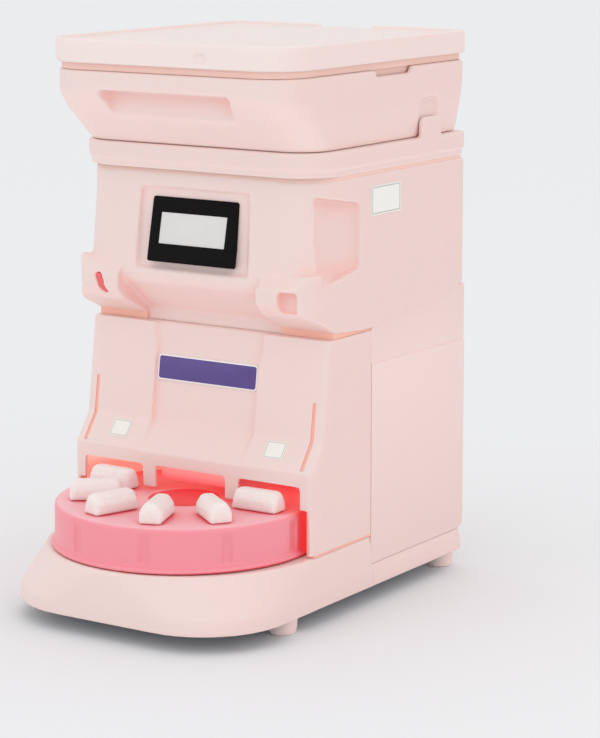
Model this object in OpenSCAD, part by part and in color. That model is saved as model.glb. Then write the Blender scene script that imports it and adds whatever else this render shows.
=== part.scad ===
// Countertop sushi rice machine: a lidded rice hopper on top, a touch panel on the
// head, and a turntable in front that carries the formed rice balls out.
// Frame: origin on the floor under the middle of the machine, +X to its right as seen
// from the front, +Y to the rear, +Z up. All sizes are millimetres.

/* [Body] */
// Width over the head and the lower covers
body_w = 340; // [320:5:400]
// Depth from the nose of the base to the rear edge
machine_d = 514; // [510:1:620]
// Wall of the moulded covers
wall = 4; // [3:0.5:5]
// Distance of the side seam behind the turntable axis
seam_offset = 138; // [130:1:150]

/* [Base] */
// Height of the feet
foot_h = 20; // [16:1:30]
// Radius of a foot at its top
foot_r = 16; // [14:1:18]
// Distance of the foot axes from the sides
foot_inset = 20; // [18:1:30]
// Height of the base under the turntable
base_h = 62; // [56:1:72]
// Height of the lower rear part of the base
base_rear_h = 27; // [24:1:32]
// Corner radius of the base nose
base_corner_r = 120; // [90:5:130]
// How far the skirt of the base stands out at each side
skirt_out = 3; // [1:0.5:6]

/* [Turntable] */
// Radius of the turntable drum
table_r = 148; // [140:1:152]
// How far the foot flange stands out from the drum
table_flange = 8; // [4:1:10]
// Height of the drum above the base
table_h = 52; // [48:1:60]
// Running gap between the flange and the base
table_gap = 1.5; // [1:0.5:3]
// Number of places for rice balls
places = 10; // [8:1:12]
// Radius of the ring of places
place_r = 104; // [100:1:108]
// Radius of the spindle
spindle_r = 10; // [8:0.5:12]

/* [Rice balls] */
// Length of a rice ball
ball_l = 60; // [54:1:62]
// Width of a rice ball
ball_w = 28; // [24:1:30]
// Height of a rice ball
ball_h = 24; // [20:1:26]

/* [Front cover] */
// Height of the lower front cover
cover_h = 244; // [230:2:300]
// Gap between the base and the front cover
cover_gap = 2; // [1.5:0.5:6]
// Height of the three openings over the turntable
mouth_h = 27; // [26:0.5:30]
// Half of the middle opening
mouth_mid = 50; // [44:1:54]
// Width of a post between two openings
post_w = 18; // [14:1:20]
// Depth of the flange along the top edge of the front cover
top_flange = 16; // [12:1:18]
// Depth of the recessed middle of the front cover
cover_recess = 4.5; // [3:0.5:6]
// Width of the narrow slots near the corners
slot_w = 3.5; // [2:0.5:4]

/* [Head] */
// Height of the head
head_h = 175; // [165:1:200]
// Gap between the front cover and the head
head_gap = 7; // [5:1:10]
// Backward lean of the head face in degrees
head_lean = 5.8; // [4:0.2:7]
// Plan corner radius of the head front
head_r = 40; // [30:1:44]
// Depth of the recess round the touch panel
panel_recess = 6; // [5:0.5:8]
// Half width of the recess round the touch panel
recess_half = 78; // [72:1:82]
// Half width of the touch panel bezel
bezel_half = 60; // [54:1:66]
// Height of the touch panel bezel
bezel_h = 76; // [70:1:80]
// Half width of the screen
screen_half = 46.5; // [40:0.5:50]
// Height of the screen
screen_h = 37; // [34:1:40]

/* [Hopper] */
// Height of the frame that carries the hopper
frame_h = 29; // [24:1:36]
// Height of the hopper bowl
bowl_h = 86; // [80:1:140]
// Wall of the hopper bowl
bowl_wall = 5; // [4:0.5:6]
// Height of the lid rim
lid_h = 28; // [24:1:34]
// Height of the visible seal between bowl and lid
lid_gap = 8; // [6:0.5:10]
// Height of the seal under the hopper frame
frame_seal_h = 4; // [3:0.5:6]
// How far the frame stands out from the body at each side
frame_out = 3; // [2:0.5:5]

/* [Rice path] */
// Radius of the two feed rollers
feed_r = 26; // [22:0.5:27]
// Height of the feed roller axes above the floor of the head
feed_z = 125; // [120:1:130]
// Radius of the two forming rollers
form_r = 22; // [20:0.5:22.5]
// Height of the forming roller axes above the turntable
form_z = 166; // [160:1:172]
// Radius of a roller shaft
shaft_r = 6; // [5:0.5:7]
// Travel of the cutter plate
cutter_travel = 34; // [32:1:36]

/* [Fits] */
// Radial clearance of a shaft in its bearing
running = 0.05; // [0.02:0.01:0.1]
// Gap between covers and round loose pieces
loose = 0.4; // [0.3:0.1:0.6]

/* [Hidden] */
$fn = 64;

soft_pink = [0.93, 0.83, 0.80];
deep_pink = [0.95, 0.55, 0.60];
salmon = [0.90, 0.52, 0.42];
steel = [0.75, 0.76, 0.78];
dark = [0.12, 0.12, 0.13];
pale_grey = [0.89, 0.89, 0.88];
white_resin = [0.95, 0.95, 0.93];
brass = [0.80, 0.68, 0.38];

half = body_w / 2;
foot_x = half - foot_inset;
front_y = -machine_d / 2;
rear_y = machine_d / 2;
flange_r = table_r + table_flange;
nose_gap = 4;
table_y = front_y + nose_gap + flange_r;
seam_y = table_y + seam_offset;
drop_y = table_y + place_r;

base_z = foot_h + base_h;
base_rear_z = foot_h + base_rear_h;
table_low = base_z + table_gap;
table_z = base_z + table_h;
cover_z = base_z + cover_gap;
cover_top = cover_z + cover_h;
head_z = cover_top + head_gap;
head_top = head_z + head_h;
frame_z = head_top + frame_seal_h;
frame_top = frame_z + frame_h;
bowl_z = frame_top + 0.3;
bowl_top = frame_top + bowl_h;
lid_z = bowl_top + lid_gap;
lid_top = lid_z + lid_h;

// Stations of the front cover, measured from the turntable axis and its top face
mouth_z = table_z + 3;
mouth_top = mouth_z + mouth_h;
mouth_half = mouth_mid + post_w + 86;
cheek_half = half - 6;
cover_front = table_y + 9;
kick_low = mouth_top + 16;
kick_high = kick_low + 33;
kick_y = cover_front + 24;
cover_top_y = kick_y + 16;
recess_x = 78;
slot_x = half - 15;

// Stations of the head
head_front = cover_top_y - 24;
nose_z = head_z + 55;
chin_y = cover_top_y + 16;
chin_z = head_z + 8;
lobe_half = 98;
lobe_front = head_front - 22;
side_line_rise = 26;
bezel_z = head_z + 70;
screen_z = bezel_z + 21;

// Outlines of bowl and lid
bowl_half = half + 2;
bowl_front = head_front - 66;
lid_half = half + 4;
lid_front = head_front - 70;
lid_rear = rear_y - 1;

// Axes of the rollers, motors and gears
feed_axis_z = head_z + feed_z;
form_axis_z = table_z + form_z;
feed_gap = 60;
form_gap = 50;
feed_m = 3;
form_m = 2.5;
roller_teeth = 20;
pinion_teeth = 16;
feed_motor_y = drop_y + feed_gap / 2 + feed_m * (roller_teeth + pinion_teeth) / 2;
form_motor_y = drop_y + form_gap / 2 + form_m * (roller_teeth + pinion_teeth) / 2;
table_m = 2.5;
table_teeth = 45;
table_pinion_teeth = 15;
pinion_y = table_y + table_m * (table_teeth + table_pinion_teeth) / 2;
plate_x = 103;
plate_t = 4;
frame_x = plate_x + plate_t;
gear_x = frame_x + 5;
gear_t = 8;
bearing_r = 14;
agitator_y = rear_y - 107;
shelf_z = head_z + 153;
panel_y = rear_y - 9;
panel_t = 3;
fan_x = -70;
fan_z = head_z + 95;
inlet_x = 120;
inlet_z = base_rear_z + 35;
switch_z = inlet_z + 44;
rocker_y = panel_y + 1.5;
rocker_tilt = -10;
motor_shaft_r = 5;
table_shaft_r = 4;
screw_r = 2;
screw_head_r = 4.2;
screw_heights = [base_rear_z + 14, head_z - 40, head_top - 24];
fan_size = 80;
fan_depth = 25;
inlet_half = 14;
inlet_high = 10;
switch_half = 14;
switch_high = 11;
hatch_x = 80;
hatch_y = 40;
agitator_hub_r = 15;
rod_r = 4;
cutter_bore = cutter_travel + 16;
actuator_y = drop_y + 67 + cutter_travel;
ball_cavity_l = ball_l + 2;
ball_cavity_w = ball_w + 2;
mould_low = table_z + ball_h + 6;
mould_z = table_z + 46;
mould_top = mould_z + 76;
cutter_z = mould_top + 3;
cutter_t = 3;

// Box from its low and high corner
module block(x0, x1, y0, y1, z0, z1) {
    translate([x0, y0, z0]) cube([x1 - x0, y1 - y0, z1 - z0]);
}

// Outline drawn in Y and Z, extruded along X
module side_prism(points, x0, x1) {
    translate([x0, 0, 0]) rotate([90, 0, 90]) linear_extrude(x1 - x0) polygon(points);
}

// Plan outline, extruded between two heights
module slab(z0, z1) {
    translate([0, 0, z0]) linear_extrude(z1 - z0) children();
}

// Rectangle in plan with one radius for its front corners and one for its rear corners
module plan(half_w, y0, y1, rf, rr) {
    translate([-half_w, y0 + rf]) square([2 * half_w, y1 - rr - y0 - rf]);
    translate([-half_w + rf, y0]) square([2 * (half_w - rf), rf + 1]);
    translate([-half_w + rr, y1 - rr - 1]) square([2 * (half_w - rr), rr + 1]);
    for (s = [-1, 1]) {
        translate([s * (half_w - rf), y0 + rf]) circle(rf);
        translate([s * (half_w - rr), y1 - rr]) circle(rr);
    }
}

// Round bar along X
module rod_x(x0, x1, y, z, r) {
    translate([x0, y, z]) rotate([0, 90, 0]) cylinder(h = x1 - x0, r = r);
}

// Round bar along Y
module rod_y(x, y0, y1, z, r) {
    translate([x, y0, z]) rotate([-90, 0, 0]) cylinder(h = y1 - y0, r = r);
}

// Both mirror images of a piece about the middle plane
module both() {
    children();
    mirror([1, 0, 0]) children();
}

function involute(a) = tan(a) * 180 / PI - a;

// Spur gear outline with involute flanks; the first tooth points along +X
module gear_outline(m, teeth) {
    pressure = 20;
    backlash = 0.3;
    pitch_r = m * teeth / 2;
    base_r = pitch_r * cos(pressure);
    root_r = pitch_r - 1.15 * m;
    tip_r = pitch_r + 0.8 * m;
    low_r = max(base_r, root_r);
    half_tooth = 90 / teeth - backlash / 4 / pitch_r * 180 / PI;
    radii = [for (i = [0:2]) low_r + (tip_r - low_r) * i / 2];
    function turn(r) = half_tooth + involute(pressure) - involute(acos(min(1, base_r / r)));
    function at(r, a) = [r * cos(a), r * sin(a)];
    polygon([for (t = [0:teeth - 1]) let (c = t * 360 / teeth)
        each concat([at(root_r, c - turn(low_r))], [for (r = radii) at(r, c - turn(r))],
            [for (i = [2:-1:0]) at(radii[i], c + turn(radii[i]))], [at(root_r, c + turn(low_r))])]);
}

// Spur gear on an X shaft, turned by an angle so that a pair is in mesh
module gear_x_axis(m, teeth, y, z, angle) {
    difference() {
        translate([gear_x, y, z]) rotate([90, 0, 90]) rotate(angle)
            linear_extrude(gear_t) gear_outline(m, teeth);
        rod_x(gear_x - 1, gear_x + gear_t + 1, y, z, shaft_r + running);
    }
}

// Base skirt: a squarish outline at the floor blends into the round table well
module skirt(inset) {
    low = inset > 0 ? foot_h - 1 : foot_h;
    high = inset > 0 ? base_z - wall : base_z;
    end_y = inset > 0 ? seam_y - wall : seam_y;
    hull() {
        slab(low, low + 1)
            plan(half + skirt_out - inset, front_y + inset, end_y, base_corner_r - inset, 1);
        slab(high - 1, high) {
            translate([0, table_y]) circle(flange_r + 3 - inset, $fn = 96);
            translate([-half + inset, table_y + 17])
                square([2 * (half - inset), end_y - table_y - 17]);
        }
    }
}

module base_tray() {
    strip = half - 3;
    color(soft_pink) difference() {
        union() {
            skirt(0);
            slab(foot_h, base_rear_z) plan(strip, seam_y - 2, rear_y, 1, 16);
        }
        skirt(wall);
        slab(foot_h - 1, base_rear_z - wall) plan(strip - wall, seam_y, rear_y - wall, 1, 12);
        block(-strip + wall, strip - wall, seam_y - wall - 1, seam_y + 1, foot_h - 1, foot_h + 2.2);
        block(-122, 122, seam_y + 14, rear_y - 42, foot_h, base_z);
        both() block(half - wall - 1, half + 10, seam_y, seam_y + 30, base_rear_z + 0.01, base_z + 1);
        translate([0, table_y, base_z - 20]) cylinder(h = 40, r = bearing_r + 12 + 0.2);
        translate([0, pinion_y, base_z - 20]) cylinder(h = 40, r = 2 * table_shaft_r);
    }
}

module feet() {
    color(soft_pink) both() {
        for (y = [table_y - 20, rear_y - 22])
            translate([foot_x, y, 0]) cylinder(h = foot_h, r1 = foot_r - 1.5, r2 = foot_r);
    }
}

module bottom_plate() {
    edge = half - 3 - wall - 0.5;
    color(steel) slab(foot_h, foot_h + 2)
        plan(edge, front_y + wall + 0.5, rear_y - wall - 0.5, base_corner_r - 8, 11);
}

module side_frame(x0) {
    low = foot_h + 2;
    step = table_z + 44;
    top = head_top - 5;
    outline = [[seam_y + 19, low], [rear_y - 57, low], [rear_y - 57, top], [drop_y - 27, top],
        [drop_y - 27, step], [seam_y + 19, step]];
    color(steel) difference() {
        side_prism(outline, x0, x0 + plate_t);
        for (s = [-1, 1]) {
            rod_x(x0 - 1, x0 + plate_t + 1, drop_y + s * feed_gap / 2, feed_axis_z, bearing_r + running);
            rod_x(x0 - 1, x0 + plate_t + 1, drop_y + s * form_gap / 2, form_axis_z, bearing_r + running);
        }
        rod_x(x0 - 1, x0 + plate_t + 1, feed_motor_y, feed_axis_z, motor_shaft_r + 3);
        rod_x(x0 - 1, x0 + plate_t + 1, form_motor_y, form_axis_z, motor_shaft_r + 3);
    }
}

module side_frame_left() { side_frame(-frame_x); }

module side_frame_right() { side_frame(plate_x); }

module tie_bars() {
    back = rear_y - 67;
    color(steel) for (p = [[back, foot_h + 70], [back, form_axis_z], [back, head_z + 60],
        [drop_y + 68, form_axis_z + 50], [drop_y + 68, mould_z + 30]])
        rod_x(-plate_x, plate_x, p[0], p[1], 5);
}

module turntable() {
    disc = 4;
    edge_r = 4;
    flute_r = 41;
    color(deep_pink) difference() {
        translate([0, table_y, 0]) union() {
            difference() {
                rotate_extrude($fn = 128) polygon([[0, table_low], [flange_r, table_low],
                    [flange_r, table_low + 3], [flange_r - 3, table_low + 5], [table_r, table_low + 6],
                    [table_r, table_z - edge_r], [table_r - 1.2, table_z - 1.2],
                    [table_r - edge_r, table_z], [0, table_z]]);
                translate([0, 0, table_low - 1]) cylinder(h = table_h - disc - table_gap + 1,
                    r = table_r - disc);
            }
            translate([0, 0, base_z + 22]) cylinder(h = table_h - 24, r = 22);
        }
        translate([0, table_y, base_z]) cylinder(h = table_h - 8, r = spindle_r + running);
        translate([0, table_y, 0]) for (i = [0:places - 1]) rotate(i * 360 / places)
            translate([table_r + flute_r - 1.5, 0, table_low + 10])
                cylinder(h = table_h - 21, r = flute_r);
    }
}

module turntable_spindle() {
    color(steel) translate([0, table_y, 0]) {
        translate([0, 0, base_z - 24]) cylinder(h = 24 + table_h - 10, r = spindle_r);
        translate([0, 0, base_z + 20.2]) cylinder(h = 1.6, r = spindle_r + 6);
        translate([0, 0, base_z - 30]) cylinder(h = 5.7, r = spindle_r + 4);
    }
}

module turntable_bearing() {
    color(steel) translate([0, table_y, 0]) difference() {
        union() {
            translate([0, 0, base_z - 24]) cylinder(h = 26, r = bearing_r + 12);
            translate([0, 0, base_z]) cylinder(h = 4, r = bearing_r + 22);
        }
        translate([0, 0, base_z - 30]) cylinder(h = 40, r = spindle_r + running);
    }
}

module turntable_gear() {
    color(brass) translate([0, table_y, base_z + 10]) difference() {
        rotate(90) linear_extrude(10) gear_outline(table_m, table_teeth);
        translate([0, 0, -1]) cylinder(h = 12, r = spindle_r + running);
    }
}

module turntable_pinion() {
    color(brass) translate([0, pinion_y, 0]) {
        translate([0, 0, base_z + 10]) rotate(90) linear_extrude(10)
            gear_outline(table_m, table_pinion_teeth);
        translate([0, 0, base_z - 20]) cylinder(h = 31, r = table_shaft_r);
    }
}

module turntable_motor() {
    deck = base_z - wall;
    color(steel) difference() {
        union() {
            block(-26, 26, pinion_y - 26, pinion_y + 26, deck - 4, deck);
            translate([0, pinion_y, foot_h + 4]) cylinder(h = base_h - wall - 6, r = 21);
        }
        translate([0, pinion_y, base_z - 21]) cylinder(h = 30, r = table_shaft_r + running);
    }
}

// One rice ball: a rounded oblong block with a flat underside
module rice_ball() {
    r = 11;
    hull() for (x = [-1, 1], y = [-1, 1])
        translate([x * (ball_l / 2 - r), y * (ball_w / 2 - r), 0]) {
            cylinder(h = 1, r = r - 2, $fn = 20);
            translate([0, 0, ball_h - r]) sphere(r, $fn = 20);
        }
}

module rice_balls() {
    step = 360 / places;
    color(white_resin) translate([0, table_y, table_z + 0.02]) for (i = [0:5])
        rotate(180 + i * step) translate([place_r, 0, 0]) rice_ball();
}

// Coloured inner shell behind the mouth: a round wall, a ceiling over the turntable, and a guard
// that hangs from the ceiling behind the middle opening
module bay_liner() {
    wall_r = flange_r + 2.5;
    lower = base_z;
    ceiling = table_z + 38;
    guard_y = cover_front + 10;
    guard_half = mouth_mid - 2;
    color(salmon) {
        difference() {
            translate([0, table_y, lower]) cylinder(h = ceiling + 3 - lower, r = wall_r + 2.5, $fn = 128);
            translate([0, table_y, lower - 1]) cylinder(h = ceiling - lower + 1, r = wall_r, $fn = 128);
            block(-half, half, front_y - wall, guard_y, 0, ceiling + 10);
            block(-ball_cavity_l / 2 - 5, ball_cavity_l / 2 + 5, drop_y - ball_cavity_w / 2 - 5,
                drop_y + ball_cavity_w / 2 + 5, ceiling - 1, ceiling + 5);
        }
        block(-guard_half, guard_half, guard_y, guard_y + 3, mouth_z + 11, ceiling + 0.5);
    }
}

// Height line of the front cover face, moved back by a depth
function cover_face(back) = [[cover_front + back, kick_low], [kick_y + back, kick_high],
    [cover_top_y + back, cover_top]];
function cover_face_y(z) = kick_y + (cover_top_y - kick_y) * (z - kick_high) / (cover_top - kick_high);

module front_cover() {
    inner_top = cover_top - wall;
    deep = wall + cover_recess;
    low = cover_z - 5;
    cavity = concat([[cover_front + wall, low]], [for (p = cover_face(wall)) [p[0], min(p[1], inner_top)]],
        [[seam_y + 1, inner_top], [seam_y + 1, low]]);
    deep_cavity = concat([[cover_front + deep, low]],
        [for (p = cover_face(deep)) [p[0], min(p[1], inner_top)]],
        [[seam_y + 1, inner_top], [seam_y + 1, low]]);
    color(soft_pink) difference() {
        side_prism(concat([[cover_front, cover_z]], cover_face(0), [[seam_y, cover_top],
            [seam_y, cover_z]]), -half, half);
        side_prism(deep_cavity, -half + wall, half - wall);
        block(-half + wall, half - wall, cover_top_y + top_flange, seam_y + 1, inner_top - 1, cover_top + 1);
        both() side_prism(cavity, recess_x + wall, half - wall);
        side_prism(concat([[front_y, kick_low - 2], [cover_front + cover_recess, kick_low - 2]],
            cover_face(cover_recess), [[cover_top_y + cover_recess, cover_top + 1],
            [front_y, cover_top + 1]]), -recess_x, recess_x);
        block(-cheek_half, cheek_half, front_y, kick_y, cover_z - 1, mouth_z);
        block(-mouth_mid, mouth_mid, front_y, kick_y, mouth_z - 1, mouth_top);
        both() block(mouth_mid + post_w, mouth_half, front_y, kick_y, mouth_z - 1, mouth_top);
        both() side_prism([[front_y, kick_low + 3], [kick_y - 16, kick_low + 3],
            [kick_y + 6, kick_high], [kick_y + 14, kick_high + 44], [front_y, kick_high + 44]],
            slot_x - slot_w / 2, slot_x + slot_w / 2);
    }
}

module brand_plate() {
    low = kick_high + 47;
    high = low + 30;
    thick = 1.5;
    back = cover_recess;
    color([0.30, 0.22, 0.47]) side_prism([[cover_face_y(low) + back, low],
        [cover_face_y(high) + back, high], [cover_face_y(high) + back - thick, high],
        [cover_face_y(low) + back - thick, low]], -71, 71);
}

module cover_labels() {
    run = (kick_y - cover_front) / (kick_high - kick_low);
    low = kick_low + 7;
    high = kick_high - 2;
    low_y = cover_front + run * (low - kick_low);
    high_y = cover_front + run * (high - kick_low);
    color([0.95, 0.95, 0.90]) both() side_prism([[low_y, low], [high_y, high], [high_y - 0.6, high],
        [low_y - 0.6, low]], 97, 124);
}

// Height of the slanted line between head and side cover
function side_line(y) = cover_top + 2 + side_line_rise * (y - seam_y) / (rear_y - seam_y);

// Lower side cover on the +X side, with its shallow band under the head
module side_cover() {
    y0 = seam_y + loose;
    color(soft_pink) difference() {
        side_prism([[y0, base_rear_z + 1], [rear_y, base_rear_z + 1],
            [rear_y, side_line(rear_y) - 1], [y0, side_line(y0) - 1]], half - wall, half);
        side_prism([[y0 - 1, head_z - 47], [rear_y + 1, head_z - 50], [rear_y + 1, head_z + 40],
            [y0 - 1, head_z + 40]], half - 1.5, half + 1);
    }
}

module side_cover_right() { side_cover(); }

module side_cover_left() { mirror([1, 0, 0]) side_cover(); }

// Square hole in the rear panel for a part that is fitted from outside
module panel_hole(half_x, z, half_z) {
    block(inlet_x - half_x, inlet_x + half_x, panel_y - 1, panel_y + 5, z - half_z, z + half_z);
}

module rear_panel() {
    edge = half - wall - 0.5;
    vent_h = 5;
    color(soft_pink) difference() {
        block(-edge, edge, panel_y, panel_y + panel_t, base_rear_z + 2, head_top - wall - 1);
        rod_y(fan_x, panel_y - 1, panel_y + 5, fan_z, fan_size / 2 - 2);
        panel_hole(inlet_half + 0.2, inlet_z, inlet_high + 0.2);
        panel_hole(switch_half + 0.2, switch_z, switch_high + 0.2);
        for (i = [0:7]) block(-120, -20, panel_y - 1, panel_y + 5, base_rear_z + 40 + 11 * i,
            base_rear_z + 40 + 11 * i + vent_h);
        both() for (z = screw_heights) rod_y(edge - 12, panel_y - 1, panel_y + 5, z, screw_r + 0.2);
    }
}

module rear_screws() {
    edge = half - wall - 0.5;
    color(steel) both() for (z = screw_heights) {
        rod_y(edge - 12, panel_y - 8, panel_y + panel_t, z, screw_r);
        rod_y(edge - 12, panel_y + panel_t, panel_y + panel_t + 2.2, z, screw_head_r);
    }
}

// Leaning face of the head
function head_face(z) = head_front - (head_top - z) * tan(head_lean);

// Hollow of the head behind a face moved back by a depth
function head_hollow(back) = [[head_face(head_top - wall) + back, head_top - wall],
    [head_face(nose_z - 2) + back, nose_z - 2], [head_face(nose_z) + back + 4, nose_z - 5],
    [chin_y + wall, chin_z + 3], [chin_y + wall, head_z - 20], [rear_y + 5, head_z - 20],
    [rear_y + 5, head_top - wall]];

// Grip pocket in the side of the head, as wide as a hand
module grip_pocket() {
    low = head_z + 69;
    high = head_z + 160;
    out = half + 1;
    intersection() {
        slab(low, high) polygon([[out, head_front + 26], [half - 19, head_front + 32],
            [half - 19, head_front + 64], [out, head_front + 88]]);
        rotate([90, 0, 0]) translate([0, 0, -head_front - 120]) linear_extrude(140)
            polygon([[out, high], [half - 19, high - 7], [half - 19, low + 20], [out, low]]);
    }
}

// Rounded lobe at a lower front corner of the head
module lobe() {
    intersection() {
        side_prism([[head_face(nose_z + 14) + 3, nose_z + 14], [lobe_front, nose_z - 4],
            [lobe_front, head_z + 36], [lobe_front + 13, head_z + 22], [chin_y - 3, head_z],
            [chin_y + 3, head_z], [chin_y + 3, chin_z + 4], [head_front + 8, nose_z + 14]],
            lobe_half, half);
        slab(head_z - 1, head_top) plan(half, lobe_front, rear_y, 36, 4);
    }
}

module head_cover() {
    color(soft_pink) difference() {
        union() {
            difference() {
                intersection() {
                    side_prism([[head_face(head_top), head_top], [head_face(nose_z), nose_z],
                        [head_face(nose_z) + 4, nose_z - 9], [chin_y, chin_z], [chin_y, head_z],
                        [seam_y, side_line(seam_y)], [rear_y, side_line(rear_y)], [rear_y, head_top]],
                        -half, half);
                    slab(head_z - 20, head_top) plan(half, head_front - 14, rear_y, head_r, 10);
                }
                intersection() {
                    union() {
                        side_prism(head_hollow(wall + panel_recess), -half + wall, half - wall);
                        both() side_prism(head_hollow(wall), recess_half + wall, half - wall);
                    }
                    slab(head_z - 30, head_top) plan(half - wall, head_front - 14 + wall, rear_y + 20,
                        head_r - wall, 4);
                }
            }
            both() lobe();
            block(-half + wall, half - wall, chin_y, chin_y + wall, cover_top + 2, chin_z);
            both() block(half - 23, half - wall, head_front + 22, head_front + 92, head_z + 65,
                head_z + 165);
        }
        both() grip_pocket();
        side_prism([[front_y, bezel_z - 5], [head_face(bezel_z - 5) + panel_recess, bezel_z - 5],
            [head_face(bezel_z + 89) + panel_recess, bezel_z + 89], [front_y, bezel_z + 89]],
            -recess_half, recess_half);
        block(-52, 52, front_y, head_front + 30, bezel_z + 7, bezel_z + bezel_h - 7);
        block(-100, 100, drop_y - 52, drop_y + 53, head_top - 10, head_top + 1);
        translate([0, agitator_y, head_top - 10]) cylinder(h = 20, r = 32);
        both() block(lobe_half + 38, lobe_half + 62, front_y, lobe_front + 9, head_z + 29, head_z + 54);
    }
}

// Blank label on the right side of the head
module side_label() {
    color([0.95, 0.95, 0.95]) block(half, half + 0.6, seam_y - 3, seam_y + 61, head_top - 48,
        head_top - 13);
}

// Plane of the recess floor behind the touch panel
function panel_floor(z) = head_face(z) + panel_recess;

module panel_bezel() {
    high = bezel_z + bezel_h;
    color(dark) difference() {
        side_prism([[panel_floor(bezel_z), bezel_z], [panel_floor(high), high],
            [panel_floor(high) - 5, high], [panel_floor(bezel_z) - 5, bezel_z]],
            -bezel_half, bezel_half);
        block(-screen_half, screen_half, front_y, head_front + 20, screen_z, screen_z + screen_h);
    }
}

module panel_screen() {
    low = screen_z + 0.2;
    high = screen_z + screen_h - 0.2;
    color(pale_grey) side_prism([[panel_floor(low), low], [panel_floor(high), high],
        [panel_floor(high) - 4.2, high], [panel_floor(low) - 4.2, low]],
        -screen_half + 0.2, screen_half - 0.2);
}

module panel_housing() {
    low = bezel_z + 8;
    high = bezel_z + bezel_h - 8;
    color(dark) side_prism([[panel_floor(low), low], [panel_floor(high), high],
        [head_front + 20, high], [head_front + 20, low]], -50, 50);
}

// Frame on the head that carries the hopper, with two locating tabs
module hopper_frame() {
    out = half + frame_out;
    y0 = head_front - 10;
    y1 = rear_y - 2;
    color(soft_pink) difference() {
        union() {
            slab(frame_z, frame_top) plan(out, y0, y1, 50, 14);
            both() block(out - 6, out, seam_y + 106, seam_y + 150, frame_top - 1, frame_top + 23);
        }
        difference() {
            slab(frame_z - 1, frame_top - 7) plan(out - wall, y0 + wall, y1 - wall, 46, 10);
            difference() {
                slab(frame_z - 2, frame_top) plan(half - 4, head_front + 6, rear_y - 8, 36, 10);
                slab(frame_z - 3, frame_top + 1) plan(half - 10, head_front + 12, rear_y - 14, 30, 6);
            }
        }
        block(-hatch_x - 4, hatch_x + 4, drop_y - hatch_y - 4, drop_y + hatch_y + 4,
            frame_z, frame_top + 1);
        translate([0, agitator_y, frame_z]) cylinder(h = frame_h + 1, r = 14);
    }
}

module frame_seal() {
    color(salmon) difference() {
        slab(head_top, frame_z) plan(half - 4, head_front + 6, rear_y - 8, 36, 10);
        slab(head_top - 1, frame_z + 1) plan(half - 10, head_front + 12, rear_y - 14, 30, 6);
    }
}

// Outline of the bowl: upright at the rim, drawn in towards the frame below it
module bowl_form(inset) {
    low = bowl_half - 9 - inset;
    shoulder = bowl_top - 25;
    hull() {
        slab(shoulder, bowl_top + inset) plan(bowl_half - inset, bowl_front + inset,
            rear_y - 4 - inset, 50 - inset, 16 - inset);
        slab(bowl_z + inset, bowl_z + inset + 1) plan(low, head_front - 4 + inset,
            rear_y - 11 - inset, 42 - inset, 12 - inset);
    }
}

module hopper_bowl() {
    notch_y = seam_y;
    color(soft_pink) difference() {
        union() {
            difference() {
                bowl_form(0);
                bowl_form(bowl_wall);
            }
            block(-hatch_x - 2.5, hatch_x + 2.5, drop_y - hatch_y - 2.5, drop_y + hatch_y + 2.5,
                frame_top - 6, bowl_z + 1);
            translate([0, agitator_y, bowl_z + 1]) cylinder(h = 16, r = 22);
        }
        block(-hatch_x, hatch_x, drop_y - hatch_y, drop_y + hatch_y, frame_top - 10, bowl_z + 20);
        translate([0, agitator_y, frame_top - 10]) cylinder(h = 40, r = agitator_hub_r + running);
        both() side_prism([[notch_y, bowl_top + 1], [notch_y + 10, bowl_top - 9],
            [notch_y + 76, bowl_top - 9], [notch_y + 87, bowl_top + 1]], half - 20, half + 20);
    }
}

// Plan outline of the lid, drawn in by a distance
module lid_plan(inset) {
    plan(lid_half - inset, lid_front + inset, lid_rear - inset, 54 - inset, 18.5 - inset);
}

module lid() {
    rim = 8;
    tray = 4.5;
    skirt_in = 13;
    skirt_low = 13;
    web = lid_top - tray - 5;
    color(soft_pink) difference() {
        union() {
            slab(lid_z, lid_top) lid_plan(0);
            slab(lid_z - skirt_low, web + 1) lid_plan(skirt_in);
        }
        slab(lid_top - tray, lid_top + 1) lid_plan(rim);
        slab(lid_z - skirt_low - 1, web) lid_plan(skirt_in + wall);
        difference() {
            slab(lid_z - 1, web) lid_plan(6);
            slab(lid_z - 2, web + 1) lid_plan(skirt_in);
        }
        block(-40, 40, lid_rear - 20, lid_rear + 1, lid_top - 3, lid_top + 1);
    }
}

module lid_seal() {
    high = lid_z + 18;
    color(salmon) difference() {
        slab(bowl_top + 0.3, high) lid_plan(6.2);
        slab(bowl_top - 1, high + 1) lid_plan(12.8);
    }
}

// Stirring arms in the hopper; the hub runs in the floor of the bowl
module agitator() {
    hub_z = bowl_z + 17.3;
    color(white_resin) translate([0, agitator_y, 0]) difference() {
        union() {
            translate([0, 0, bowl_z + 0.3]) cylinder(h = 20, r = agitator_hub_r);
            translate([0, 0, hub_z]) cylinder(h = 7, r = 24);
            translate([0, 0, hub_z + 7]) cylinder(h = 14, r1 = 20, r2 = 9);
            for (a = [90, 210, 330]) rotate(a) {
                block(10, 84, -4, 4, hub_z, hub_z + 7);
                block(58, 84, -3, 3, hub_z + 6, hub_z + 34);
            }
        }
        translate([-3, -20, bowl_z - 1]) cube([6, 40, 10]);
    }
}

module agitator_drive() {
    color(steel) translate([0, agitator_y, 0]) {
        translate([0, 0, shelf_z - 22]) cylinder(h = bowl_z - shelf_z + 22, r = shaft_r);
        translate([-2.8, -5, bowl_z]) cube([5.6, 10, 8]);
    }
}

module agitator_motor() {
    color(steel) translate([0, agitator_y, 0]) difference() {
        translate([0, 0, shelf_z - 58]) cylinder(h = 58, r = 25);
        translate([0, 0, shelf_z - 24]) cylinder(h = 30, r = shaft_r + running);
    }
}

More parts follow.
